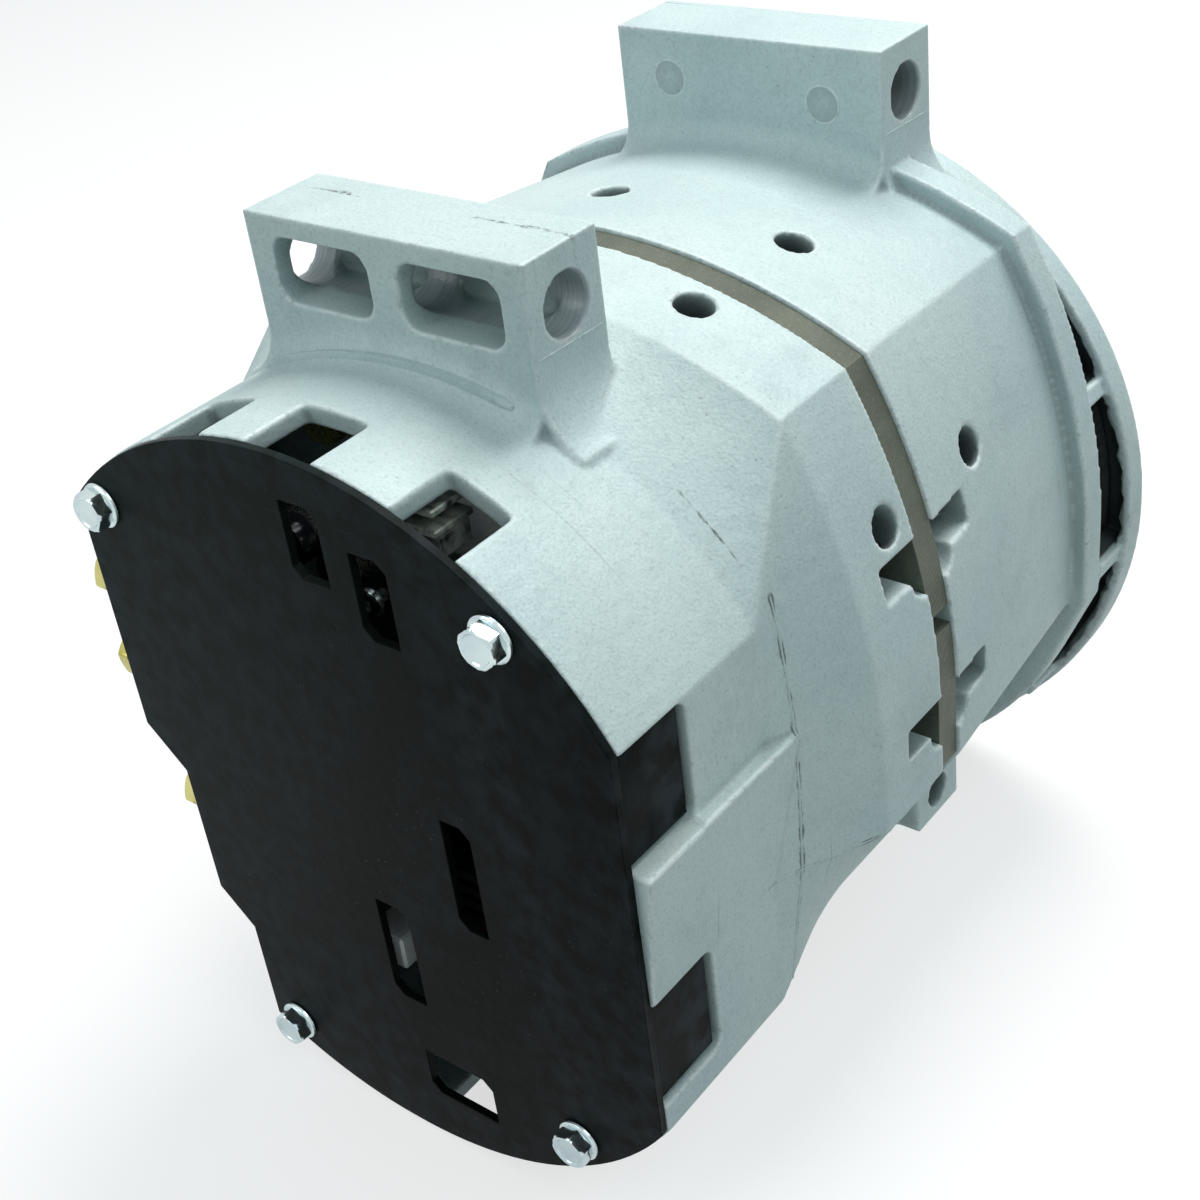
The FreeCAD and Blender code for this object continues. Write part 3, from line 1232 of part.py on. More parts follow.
# Terminals in the left wall: flanged insulators, studs, washers and nuts.
insulators = group_body("terminal_insulators")
studs = group_body("terminal_studs")
plates = group_body("terminal_washers")
nuts = group_body("terminal_nuts")
stud_radius = size("stud_diameter") / 2
insulator_radius = size("insulator_outer") / 2
collar = insulator_radius - 2.5 - 0.05
washer_height = size("washer_height")
nut_height = size("nut_small_height")
WALLS = [("skirt_left_top", "stud_up_a"), ("skirt_left_top", "stud_up_b"),
         ("skirt_left_mid", "stud_up_c")]
for number, (wall, up) in enumerate(WALLS):
    wall = size(wall)
    inside = wall - "skirt_wall"
    lip = size("insulator_lip")
    flange = new_sketch(insulators, "InsulatorLip%d" % number, "YZ_Plane", wall)
    draw_circle(flange, "stud_y", up, insulator_radius)
    pad(insulators, flange, lip)
    tube = new_sketch(insulators, "InsulatorTube%d" % number, "YZ_Plane", inside)
    draw_circle(tube, "stud_y", up, collar)
    pad(insulators, tube, size("skirt_wall") + 1)
    inner_lip = new_sketch(insulators, "InsulatorInner%d" % number, "YZ_Plane", inside - lip)
    draw_circle(inner_lip, "stud_y", up, insulator_radius - 0.5)
    pad(insulators, inner_lip, lip)
    bore = new_sketch(insulators, "InsulatorBore%d" % number, "YZ_Plane", inside - lip - 1)
    draw_circle(bore, "stud_y", up, stud_radius + 0.02)
    pocket(insulators, bore, size("skirt_wall") + lip * 2 + 2, True)
    head = new_sketch(studs, "StudHead%d" % number, "YZ_Plane", inside - lip - 3)
    draw_circle(head, "stud_y", up, insulator_radius - 1.5)
    pad(studs, head, 3)
    collar_end = wall + lip + "insulator_collar"
    collar_sketch = new_sketch(insulators, "InsulatorCollar%d" % number, "YZ_Plane", wall + lip)
    draw_circle(collar_sketch, "stud_y", up, insulator_radius - 1.5)
    draw_circle(collar_sketch, "stud_y", up, stud_radius + 0.02)
    pad(insulators, collar_sketch, "insulator_collar")
    stack_end = collar_end
    for step in range(2):
        disc = new_sketch(plates, "StudWasher%d%d" % (number, step), "YZ_Plane", stack_end)
        draw_circle(disc, "stud_y", up, insulator_radius - 0.5)
        draw_circle(disc, "stud_y", up, stud_radius + 0.3)
        pad(plates, disc, washer_height)
        nut = new_sketch(nuts, "StudNut%d%d" % (number, step), "YZ_Plane", stack_end + washer_height)
        draw_hexagon(nut, "stud_y", up, "nut_small_flats")
        draw_circle(nut, "stud_y", up, stud_radius + 0.02)
        pad(nuts, nut, nut_height)
        stack_end = stack_end + washer_height + nut_height
    rod = new_sketch(studs, "StudRod%d" % number, "YZ_Plane", inside - lip - 2)
    draw_circle(rod, "stud_y", up, stud_radius)
    pad(studs, rod, stack_end + "stud_end" - inside + lip + 2)
doc.recompute()

os.makedirs("parts", exist_ok=True)
for item in doc.Objects:
    if "Invalid" in item.State or "Error" in item.State:
        raise RuntimeError("failed object " + item.Label)
for item in PARTS:
    shape = item.Shape
    if shape.isNull() or not shape.isValid() or not shape.Solids:
        raise RuntimeError("bad shape " + item.Label)
for item in PARTS:
    item.Shape.exportStep("parts/" + item.Label + ".step")
    box = item.Shape.BoundBox
    print("%-24s %2d solids %9.0f mm3" % (item.Label, len(item.Shape.Solids), item.Shape.Volume),
          "x %.1f..%.1f y %.1f..%.1f z %.1f..%.1f" % (
              box.XMin, box.XMax, box.YMin, box.YMax, box.ZMin, box.ZMax))
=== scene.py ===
from contextlib import contextmanager
import json
import math

import bmesh
import bpy
from mathutils import Matrix, Vector


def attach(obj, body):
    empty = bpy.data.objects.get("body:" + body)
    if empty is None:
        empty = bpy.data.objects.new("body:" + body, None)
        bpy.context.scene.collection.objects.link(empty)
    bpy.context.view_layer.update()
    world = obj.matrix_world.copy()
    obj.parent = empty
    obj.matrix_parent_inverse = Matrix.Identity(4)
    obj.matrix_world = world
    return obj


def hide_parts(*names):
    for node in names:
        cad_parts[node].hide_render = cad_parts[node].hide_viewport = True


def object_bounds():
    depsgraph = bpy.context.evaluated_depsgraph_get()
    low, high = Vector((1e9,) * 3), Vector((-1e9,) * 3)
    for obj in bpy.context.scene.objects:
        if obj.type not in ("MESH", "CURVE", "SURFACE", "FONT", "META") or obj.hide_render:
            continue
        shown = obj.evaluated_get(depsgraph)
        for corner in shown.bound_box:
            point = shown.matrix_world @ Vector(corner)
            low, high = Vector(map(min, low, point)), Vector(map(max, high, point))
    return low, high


# Looks of the alternator: paint for every solid, rounded skins of the castings, the small pieces
# that show, and the floor, light and view of the photo. Lengths are metres in the part's frame,
# with Y along the shaft to the rear cover and Z up to the beams. The rows and boxes that new
# pieces are drawn from are in millimetres.

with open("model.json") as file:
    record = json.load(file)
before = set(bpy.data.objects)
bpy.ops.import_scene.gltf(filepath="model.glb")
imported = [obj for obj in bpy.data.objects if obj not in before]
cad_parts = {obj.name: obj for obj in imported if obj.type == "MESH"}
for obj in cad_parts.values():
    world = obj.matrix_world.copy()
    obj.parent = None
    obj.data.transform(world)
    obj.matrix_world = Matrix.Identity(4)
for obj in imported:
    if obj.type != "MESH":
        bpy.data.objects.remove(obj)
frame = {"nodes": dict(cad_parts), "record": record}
cad_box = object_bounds()
NODES = frame["nodes"]
SLOT_OF = {row["node"]: row["material_slot"] for row in frame["record"]["subparts"]}
SCENE = bpy.context.scene
MM = 0.001
ACROSS, ALONG, DOWN = (1.0, 0.0, 0.0), (0.0, 1.0, 0.0), (0.0, 0.0, -1.0)

COVER_FACE = 200.0 * MM
SINK_FACE = 187.0 * MM            # rear of what stands on the rectifier behind the cover
FRONT_BEAM_REAR = 35.0 * MM
BAND_MIDDLE = 102.25 * MM         # the laminated band that shows between the housings
BAND_HALF = 3.7 * MM
BEAM_BORES = ((150.0 * MM, 104.4 * MM), (24.0 * MM, 104.4 * MM))    # y and z of the cross holes
BORE_RADIUS = 6.8 * MM            # a little over the bores' own, so that their walls are painted
RIM_INNER = 87.4 * MM             # inner radius of the front ring's rim, seen from behind

# ---------------------------------------------------------------- node graphs


class Graph:
    """The nodes of a material or of the world."""

    def __init__(self, tree):
        self.tree = tree
        self.tree.nodes.clear()

    def node(self, kind, **settings):
        made = self.tree.nodes.new(kind)
        for key, value in settings.items():
            setattr(made, key, value)
        return made

    def link(self, source, target):
        self.tree.links.new(source, target)

    def feed(self, target, value):
        """Put a socket, a colour or a number into a socket."""
        if isinstance(value, bpy.types.NodeSocket):
            self.link(value, target)
        elif isinstance(value, tuple) and len(value) == 3 and target.type == "RGBA":
            target.default_value = (*value, 1.0)
        else:
            target.default_value = value

    def span(self, value, low, high, start=0.0, end=1.0):
        """The value brought from low..high to start..end, held at both ends."""
        made = self.node("ShaderNodeMapRange")
        self.link(value, made.inputs["Value"])
        limits = {"From Min": low, "From Max": high, "To Min": start, "To Max": end}
        for key, number in limits.items():
            made.inputs[key].default_value = number
        return made.outputs["Result"]

    def sum(self, kind, *values):
        made = self.node("ShaderNodeMath", operation=kind)
        for socket, value in zip(made.inputs, values):
            self.feed(socket, value)
        return made.outputs[0]

    def times(self, *values):
        total = values[0]
        for value in values[1:]:
            total = self.sum("MULTIPLY", total, value)
        return total

    def most(self, *values):
        total = values[0]
        for value in values[1:]:
            total = self.sum("MAXIMUM", total, value)
        return total

    def mix(self, share, first, second):
        made = self.node("ShaderNodeMix", data_type="RGBA")
        self.feed(made.inputs[0], share)
        self.feed(made.inputs[6], first)
        self.feed(made.inputs[7], second)
        return made.outputs[2]

    def seen_directly(self):
        """1 on the rays that show the background: camera, glossy and transmission."""
        paths = self.node("ShaderNodeLightPath").outputs
        return self.most(paths["Is Camera Ray"], paths["Is Glossy Ray"],
                         paths["Is Transmission Ray"])


class Paint(Graph):
    """The node graph of one material, painted in the part's own metres."""

    def __init__(self, name, **values):
        self.material = bpy.data.materials.new(name)
        self.material.use_nodes = True
        super().__init__(self.material.node_tree)
        self.shader = self.node("ShaderNodeBsdfPrincipled")
        output = self.node("ShaderNodeOutputMaterial")
        self.link(self.shader.outputs["BSDF"], output.inputs["Surface"])
        self.place = self.node("ShaderNodeTexCoord").outputs["Object"]
        self.set(**values)

    def set(self, **values):
        """Shader inputs by name, with _ for a space."""
        for key, value in values.items():
            self.feed(self.shader.inputs[key.replace("_", " ")], value)

    def stretched(self, scale, turn=(0.0, 0.0, 0.0)):
        made = self.node("ShaderNodeMapping")
        self.link(self.place, made.inputs["Vector"])
        made.inputs["Scale"].default_value = scale
        made.inputs["Rotation"].default_value = turn
        return made.outputs["Vector"]

    def noise(self, scale, detail=2.0, rough=0.5, where=None, twist=0.0):
        made = self.node("ShaderNodeTexNoise")
        self.link(where or self.place, made.inputs["Vector"])
        made.inputs["Scale"].default_value = scale
        made.inputs["Detail"].default_value = detail
        made.inputs["Roughness"].default_value = rough
        made.inputs["Distortion"].default_value = twist
        return made.outputs["Fac"]

    def cells(self, scale):
        made = self.node("ShaderNodeTexVoronoi")
        self.link(self.place, made.inputs["Vector"])
        made.inputs["Scale"].default_value = scale
        return made.outputs["Distance"]

    def axes(self):
        made = self.node("ShaderNodeSeparateXYZ")
        self.link(self.place, made.inputs[0])
        return made.outputs[0], made.outputs[1], made.outputs[2]

    def length(self, first, second):
        """Length of the vector that has these two shares."""
        squares = self.sum("ADD", self.times(first, first), self.times(second, second))
        return self.sum("SQRT", squares)

    def edges(self, low, high):
        """Share of a convex edge, from the mesh's own curvature."""
        return self.span(self.node("ShaderNodeNewGeometry").outputs["Pointiness"], low, high)

    def hollows(self, reach, low, high):
        """Share of a surface that lies deep in an opening of its own mesh."""
        made = self.node("ShaderNodeAmbientOcclusion", samples=6, only_local=True)
        made.inputs["Distance"].default_value = reach
        return self.span(made.outputs["AO"], high, low)

    def within(self, value, low, high, soft):
        """1 between two values, fading over a soft margin outside them."""
        return self.times(self.span(value, low - soft, low), self.span(value, high + soft, high))

    def near(self, value, place, half, ragged):
        """1 within a ragged half width of a place."""
        off = self.sum("ABSOLUTE", self.sum("SUBTRACT", value, place))
        return self.span(self.sum("ADD", off, ragged), half * 1.3, half * 0.7)

    def drawn_out(self, scale, turn, low, high):
        """Thin straight scratches, from a noise that is short in one direction only."""
        line = self.noise(1.0, 1.0, 0.4, self.stretched(scale, turn))
        return self.span(line, low, high)

    def over(self, tone, colour, strength, share):
        """The tone with a colour laid over a share of it."""
        return self.mix(self.times(share, strength), tone, colour)

    def bumps(self, *layers):
        """Bump from (height, depth in metres) layers, one on another."""
        normal = None
        for height, depth in layers:
            made = self.node("ShaderNodeBump")
            made.inputs["Distance"].default_value = depth
            made.inputs["Strength"].default_value = 1.0
            self.link(height, made.inputs["Height"])
            if normal is not None:
                self.link(normal, made.inputs["Normal"])
            normal = made.outputs["Normal"]
        self.link(normal, self.shader.inputs["Normal"])


# ---------------------------------------------------------------- materials

# Parting lines, a line of painted shade under the flank's crease, and a scratch on the flank, in
# mm: place, half width, and the ends along the line.
FLANK_START, FLANK_FULL = -58.0 * MM, -60.0 * MM
REAR_PARTING = (148.6, 0.46, -62.0, 50.0)
REAR_PARTING_LEAN = 0.0223
# A dark ragged line of painted shade along the underside of the flank's crease.
CREASE_SHADE = (-16.0, 0.42, 108.0, 157.0)
UPPER_SCRATCH = (150.4, 0.15, 58.0, 70.0)
# Dashes on the rear beam's crown: place and half width in y, and the ends of each across the beam.
CROWN_DASHES = (146.0, 0.55)
CROWN_ENDS = ((17.0, 37.0), (-37.0, -13.0))
CROWN_START, CROWN_FULL = 111.0 * MM, 112.0 * MM
# Fine scratches of the castings: how each lies, and how fine it is.
SCRATCHES = (((0.3, 0.9, 0.2), 700.0), ((1.1, 0.2, 0.7), 1000.0), ((0.1, 1.4, 1.0), 850.0))


def seams_and_crease_shade(p, across, along, up, grit):
    """Dark lines where the die's halves met, on the flank and on the rear beam's crown, and a line
    of painted shade under the flank's crease.
    """
    ragged = p.span(p.noise(170.0, 3.0, 0.6), 0.30, 0.70, -0.4 * MM, 0.5 * MM)
    flank = p.span(across, FLANK_START, FLANK_FULL)
    leaning = p.sum("ADD", along, p.sum("MULTIPLY", up, REAR_PARTING_LEAN))
    dark_lines = []
    for value, other, (place, half, low, high) in ((leaning, up, REAR_PARTING),
                                                   (up, along, CREASE_SHADE),
                                                   (along, up, UPPER_SCRATCH)):
        line = p.near(value, place * MM, half * MM, ragged)
        dark_lines.append(p.times(line, flank, p.within(other, low * MM, high * MM, 1.0 * MM)))
    place, half = CROWN_DASHES
    crown = p.times(p.span(up, CROWN_START, CROWN_FULL),
                    p.near(along, place * MM, half * MM, ragged))
    for low, high in CROWN_ENDS:
        dash = p.within(across, low * MM, high * MM, 1.0 * MM)
        dark_lines.append(p.times(crown, dash, p.span(grit, 0.44, 0.52)))
    return p.most(*dark_lines)


def bores_of(p, along, up):
    """Share of the machined walls of the two cross holes."""
    bored = []
    for bore_y, bore_z in BEAM_BORES:
        reach = p.length(p.sum("SUBTRACT", along, bore_y), p.sum("SUBTRACT", up, bore_z))
        bored.append(p.span(reach, BORE_RADIUS + 0.3 * MM, BORE_RADIUS))
    return p.most(*bored)


def cast_aluminium(name="cast_aluminium", wear_and_shade=1.0):
    """Tumbled casting: pale teal grey, clouded, with dark specks, rubbed edges and fine scratches,
    and with painted shade in its creases and hollows and inside the front ring's windows.

    The last argument is the share of rubbed edges, dark lines and painted shade in creases and
    hollows, which small pieces on a casting go without.
    """
    p = Paint(name, Metallic=0.12, Specular_IOR_Level=0.3)
    across, along, up = p.axes()
    cloud = p.noise(15.0, 3.0, 0.55)
    mottle = p.noise(120.0, 5.0, 0.7)
    grain = p.noise(1500.0, 2.0, 0.6)
    grit = p.noise(520.0, 4.0, 0.75)
    smear = p.noise(26.0, 4.0, 0.6, p.stretched((1.0, 0.6, 1.0)), 0.4)
    tone = p.mix(p.span(cloud, 0.33, 0.70), (0.475, 0.60, 0.612), (0.585, 0.70, 0.692))
    tone = p.over(tone, (0.34, 0.43, 0.445), 0.42, p.span(smear, 0.52, 0.74))
    tone = p.over(tone, (0.38, 0.47, 0.485), 0.30, p.span(mottle, 0.50, 0.78))
    tone = p.over(tone, (0.76, 0.82, 0.83), 0.24, p.span(grain, 0.52, 0.72))
    tone = p.over(tone, (0.27, 0.34, 0.36), 0.34, p.span(grain, 0.46, 0.27))
    specks = p.times(p.span(p.cells(410.0), 0.13, 0.05), p.span(p.noise(31.0, 3.0), 0.50, 0.64))
    tone = p.over(tone, (0.12, 0.14, 0.15), 0.50, specks)
    edge = p.times(p.edges(0.507, 0.530), wear_and_shade)
    tone = p.over(tone, (0.80, 0.86, 0.87), 0.50, p.times(edge, p.span(mottle, 0.3, 0.6)))
    tone = p.over(tone, (0.10, 0.12, 0.13), 0.30, p.times(edge, p.span(grit, 0.53, 0.63)))
    # Painted shade: concave creases, found from the mesh's curvature, are darkened.
    tone = p.over(tone, (0.16, 0.19, 0.20), 0.45 * wear_and_shade, p.edges(0.494, 0.470))
    patches = p.span(p.noise(21.0, 2.0), 0.55, 0.66)
    marks = [p.times(p.drawn_out((16.0, fine, 16.0), turn, 0.74, 0.79), patches)
             for turn, fine in SCRATCHES]
    tone = p.over(tone, (0.13, 0.15, 0.16), 0.55, p.most(*marks))
    # Parting lines, scratch and crown dashes, with painted shade under the flank's crease.
    seam_and_crease_shade = p.times(seams_and_crease_shade(p, across, along, up, grit), p.span(mottle, 0.40, 0.53), wear_and_shade)
    tone = p.over(tone, (0.045, 0.055, 0.062), 0.76, seam_and_crease_shade)
    machined = bores_of(p, along, up)
    ridges = p.noise(1.0, 2.0, 0.5, p.stretched((2600.0, 30.0, 30.0)))
    tone = p.mix(machined, tone, p.mix(ridges, (0.22, 0.27, 0.29), (0.62, 0.68, 0.70)))
    # Painted shade: surfaces deep in the casting's own openings, found by ambient occlusion, are
    # painted nearly black, less so in the bores.
    kept_dark = p.span(machined, 0.0, 1.0, 0.95 * wear_and_shade, 0.45 * wear_and_shade)
    deep = p.times(p.hollows(15.0 * MM, 0.16, 0.62), kept_dark)
    tone = p.mix(deep, tone, (0.018, 0.024, 0.029))
    # Painted shade: inside the front ring's rim, where the windows look in, the casting is painted
    # nearly black.
    painted_rim_shade = p.times(p.span(p.length(across, up), RIM_INNER, RIM_INNER - 0.6 * MM),
                         p.within(along, 6.0 * MM, 24.2 * MM, 0.3 * MM))
    tone = p.over(tone, (0.022, 0.028, 0.034), 0.92, painted_rim_shade)
    rough = p.sum("SUBTRACT", p.span(mottle, 0.3, 0.8, 0.52, 0.68), p.times(machined, 0.22))
    p.set(Base_Color=tone, Roughness=rough)
    p.bumps((grain, 0.00009), (p.noise(380.0, 3.0, 0.6), 0.00014), (p.noise(60.0, 2.0), 0.0003))
    return p.material


def black_cover():
    """Satin black coating on sheet, with a painted sheen that lightens it towards the upper left,
    dust specks, scuffs and rubbed edges.
    """
    p = Paint("black_cover", Specular_IOR_Level=0.03)
    across, _, up = p.axes()
    grain = p.noise(2600.0, 2.0, 0.6)
    sheen_cloud = p.noise(11.0, 3.0, 0.6)
    # Painted sheen: the coating is lightened and tinted green towards the upper left, broken up by
    # a cloud.
    slant = p.sum("ADD", across, p.sum("MULTIPLY", up, 0.8))
    painted_sheen = p.times(p.span(slant, -0.06, 0.11), p.span(sheen_cloud, 0.25, 0.75, 0.6, 1.0))
    tone = p.mix(painted_sheen, (0.0022, 0.0034, 0.0028), (0.0110, 0.0190, 0.0170))
    dust = p.times(p.span(p.cells(420.0), 0.12, 0.05), p.span(p.noise(34.0, 3.0), 0.52, 0.66))
    tone = p.over(tone, (0.10, 0.14, 0.14), 0.45, dust)
    scuff = p.times(p.drawn_out((25.0, 25.0, 1100.0), (0.4, 0.2, 0.5), 0.74, 0.80),
                    p.span(p.noise(18.0, 2.0), 0.55, 0.7))
    tone = p.over(tone, (0.05, 0.06, 0.06), 0.40, scuff)
    lighter_edges = p.times(p.edges(0.52, 0.60), p.span(p.noise(160.0, 3.0), 0.40, 0.62))
    tone = p.over(tone, (0.08, 0.11, 0.14), 0.45, lighter_edges)
    p.set(Base_Color=tone, Roughness=p.span(sheen_cloud, 0.3, 0.7, 0.34, 0.46))
    p.bumps((grain, 0.00004), (p.noise(300.0, 2.0), 0.00008))
    return p.material


def metal(name, tone_low, tone_high, rough_low, rough_high, bump=0.00002, scale=500.0,
          metallic=1.0):
    """Plain metal with clouded colour and roughness."""
    p = Paint(name, Metallic=metallic)
    cloud = p.noise(scale * 0.4, 3.0, 0.6)
    grain = p.noise(scale * 5.0, 2.0, 0.6)
    p.set(Base_Color=p.mix(p.span(cloud, 0.3, 0.7), tone_low, tone_high),
          Roughness=p.span(grain, 0.3, 0.7, rough_low, rough_high))
    p.bumps((grain, bump), (cloud, bump * 3.0))
    return p.material


def laminations():
    """Edge of a stack of varnished steel sheets, each 0.5 mm thick, with painted shade: nearly
    black away from the band, inside the housings.
    """
    p = Paint("laminations", Metallic=0.25)
    _, along, _ = p.axes()
    wave = p.sum("SINE", p.sum("MULTIPLY", along, 2.0 * math.pi / (0.5 * MM)))
    stain = p.noise(60.0, 5.0, 0.65, p.stretched((1.0, 0.35, 1.0)))
    grain = p.noise(1400.0, 2.0, 0.6)
    tone = p.mix(p.span(stain, 0.35, 0.65), (0.080, 0.094, 0.066), (0.165, 0.190, 0.145))
    tone = p.over(tone, (0.040, 0.043, 0.030), 0.55, p.span(wave, -0.2, -1.0))
    tone = p.over(tone, (0.34, 0.33, 0.28), 0.3, p.span(grain, 0.55, 0.75))
    # Painted shade: away from the band that shows between the housings, the sheets are painted
    # nearly black.
    off = p.sum("ABSOLUTE", p.sum("SUBTRACT", along, BAND_MIDDLE))
    tone = p.mix(p.span(off, BAND_HALF, BAND_HALF + 0.4 * MM), tone, (0.012, 0.012, 0.011))
    p.set(Base_Color=tone, Roughness=p.span(stain, 0.3, 0.7, 0.42, 0.62))
    p.bumps((p.span(wave, -1.0, 1.0), 0.00012), (grain, 0.00004))
    return p.material


def coated_sink():
    """Black coated heat sink, with painted highlights along its edges."""
    p = Paint("sink_black", Metallic=0.3)
    cloud = p.noise(90.0, 3.0, 0.6)
    grain = p.noise(2200.0, 2.0, 0.6)
    tone = p.mix(p.span(cloud, 0.3, 0.7), (0.012, 0.015, 0.018), (0.035, 0.043, 0.048))
    # Painted highlight: edges, found from the mesh's curvature, are lightened in patches.
    lighter_edges = p.times(p.edges(0.52, 0.60), p.span(p.noise(260.0, 3.0), 0.34, 0.56))
    tone = p.over(tone, (0.62, 0.68, 0.60), 0.75, lighter_edges)
    p.set(Base_Color=tone, Roughness=p.span(grain, 0.3, 0.7, 0.28, 0.40))
    p.bumps((grain, 0.00003))
    return p.material


def plastic(name, tone, rough, bump=0.00003, shine=0.5):
    """Moulded plastic with a fine eroded skin."""
    p = Paint(name, Specular_IOR_Level=shine)
    grain = p.noise(1200.0, 2.0, 0.6)
    cloud = p.noise(45.0, 3.0, 0.6)
    light = tuple(min(1.0, c * 1.5 + 0.01) for c in tone)
    p.set(Base_Color=p.mix(p.times(p.span(cloud, 0.35, 0.7), 0.6), tone, light),
          Roughness=p.span(grain, 0.3, 0.7, rough - 0.06, rough + 0.06))
    p.bumps((grain, bump))
    return p.material


def copper_winding():
    """Varnished copper wires laid round the shaft."""
    p = Paint("copper_winding", Metallic=0.55)
    wires = p.noise(1.0, 3.0, 0.6, p.stretched((500.0, 900.0, 500.0)), 0.6)
    cloud = p.noise(40.0, 3.0, 0.6)
    tone = p.mix(p.span(wires, 0.35, 0.65), (0.10, 0.028, 0.010), (0.42, 0.15, 0.055))
    tone = p.over(tone, (0.16, 0.055, 0.02), 0.5, p.span(cloud, 0.4, 0.7))
    p.set(Base_Color=tone, Roughness=p.span(wires, 0.3, 0.7, 0.28, 0.45))
    p.bumps((wires, 0.0004))
    return p.material


MATERIALS = {
    "housing_cast": cast_aluminium(),
    "cast_plain": cast_aluminium("cast_plain", 0.0),
    "cover_black": black_cover(),
    "zinc_bright": metal("zinc_bright", (0.46, 0.56, 0.60), (0.72, 0.82, 0.80), 0.14, 0.24,
                         bump=0.00001, scale=160.0),
    "zinc_yellow": metal("zinc_yellow", (0.42, 0.38, 0.10), (0.62, 0.58, 0.24), 0.22, 0.34,
                         bump=0.00001, scale=160.0),
    "laminations": laminations(),
    "winding_copper": copper_winding(),
    "shaft_steel": metal("shaft_steel", (0.42, 0.42, 0.43), (0.56, 0.56, 0.57), 0.22, 0.34),
    "fan_black": metal("fan_black", (0.018, 0.020, 0.023), (0.035, 0.038, 0.042), 0.40, 0.55,
                       metallic=0.1),
    "bearing_steel": metal("bearing_steel", (0.60, 0.61, 0.63), (0.72, 0.73, 0.75), 0.10, 0.16),
    "cage_plastic": plastic("cage_plastic", (0.36, 0.27, 0.13), 0.45),
    "pole_iron": metal("pole_iron", (0.06, 0.055, 0.05), (0.13, 0.12, 0.11), 0.40, 0.55),
    "bobbin_plastic": plastic("bobbin_plastic", (0.02, 0.02, 0.02), 0.5),
    "ring_copper": metal("ring_copper", (0.55, 0.25, 0.12), (0.70, 0.36, 0.20), 0.16, 0.28),
    "moulded_black": plastic("moulded_black", (0.005, 0.005, 0.005), 0.6, shine=0.12),
    "moulded_brown": plastic("moulded_brown", (0.10, 0.035, 0.015), 0.4),
    "carbon": plastic("carbon", (0.022, 0.022, 0.025), 0.6),
    "block_aluminium": metal("block_aluminium", (0.84, 0.88, 0.88), (0.94, 0.97, 0.96), 0.38, 0.5,
                             metallic=0.05),
    "potting": plastic("potting", (0.10, 0.05, 0.025), 0.3),
    "can_dark": plastic("can_dark", (0.010, 0.010, 0.012), 0.16, bump=0.000005),
    "sink_black": coated_sink(),
    "diode_nickel": metal("diode_nickel", (0.50, 0.48, 0.44), (0.64, 0.62, 0.58), 0.22, 0.34),
}


def dress(obj, slot):
    obj.data.materials.clear()
    obj.data.materials.append(MATERIALS[slot])


def shade(mesh, smooth):
    for polygon in mesh.polygons:
        polygon.use_smooth = smooth


for name, node in NODES.items():
    dress(node, SLOT_OF[name])
    shade(node.data, False)
# The slot in front of the regulator shows black, so its ribs are painted black: painted shade in
# the slot.
dress(NODES["voltage_regulator"], "moulded_black")

# ---------------------------------------------------------------- meshes


@contextmanager
def editing(mesh):
    """The mesh as a bmesh, written back at the end."""
    made = bmesh.new()
    made.from_mesh(mesh)
    yield made
    made.to_mesh(mesh)
    made.free()


def linked(name, mesh):
    """New object with a mesh, in the scene."""
    obj = bpy.data.objects.new(name, mesh)
    SCENE.collection.objects.link(obj)
    return obj


def modified(obj):
    """New mesh of an object with its modifiers applied."""
    bpy.context.view_layer.update()
    graph = bpy.context.evaluated_depsgraph_get()
    return bpy.data.meshes.new_from_object(obj.evaluated_get(graph))


SKIN_VOXEL = 0.6 * MM
SKIN_ROUNDS = 4
SKIN_KEPT = 0.45                  # share of the faces that is kept


def cast_skin(name):
    """Rounded copy of a casting's solid, which stands for it."""
    skin = linked(name + "_skin", NODES[name].data.copy())
    remesh = skin.modifiers.new("Remesh", "REMESH")
    remesh.mode = "VOXEL"
    remesh.voxel_size = SKIN_VOXEL
    smooth = skin.modifiers.new("Smooth", "SMOOTH")
    smooth.factor = 0.5
    smooth.iterations = SKIN_ROUNDS
    thin = skin.modifiers.new("Decimate", "DECIMATE")
    thin.ratio = SKIN_KEPT
    made = modified(skin)
    skin.modifiers.clear()
    skin.data = made
    shade(made, True)
    dress(skin, SLOT_OF[name])
    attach(skin, "housing")
    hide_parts(name)
    return skin


REAR_SKIN = cast_skin("rear_housing")
DRIVE_SKIN = cast_skin("drive_end_housing")

# Behind its rim the front ring steps back, so that the windows show a dark gap inside it.
RING_REAR = (12.0 * MM, 13.9 * MM)
RING_WEB_OUTER = 80.0 * MM
RING_STEP = 5.5 * MM
RING_FADE = 0.5 * MM              # the step's wall, measured along the radius
for vertex in DRIVE_SKIN.data.vertices:
    reach = math.hypot(vertex.co.x, vertex.co.z)
    if RING_REAR[0] < vertex.co.y < RING_REAR[1] and RING_WEB_OUTER < reach < RIM_INNER:
        vertex.co.y -= RING_STEP * min(1.0, (RIM_INNER - reach) / RING_FADE)


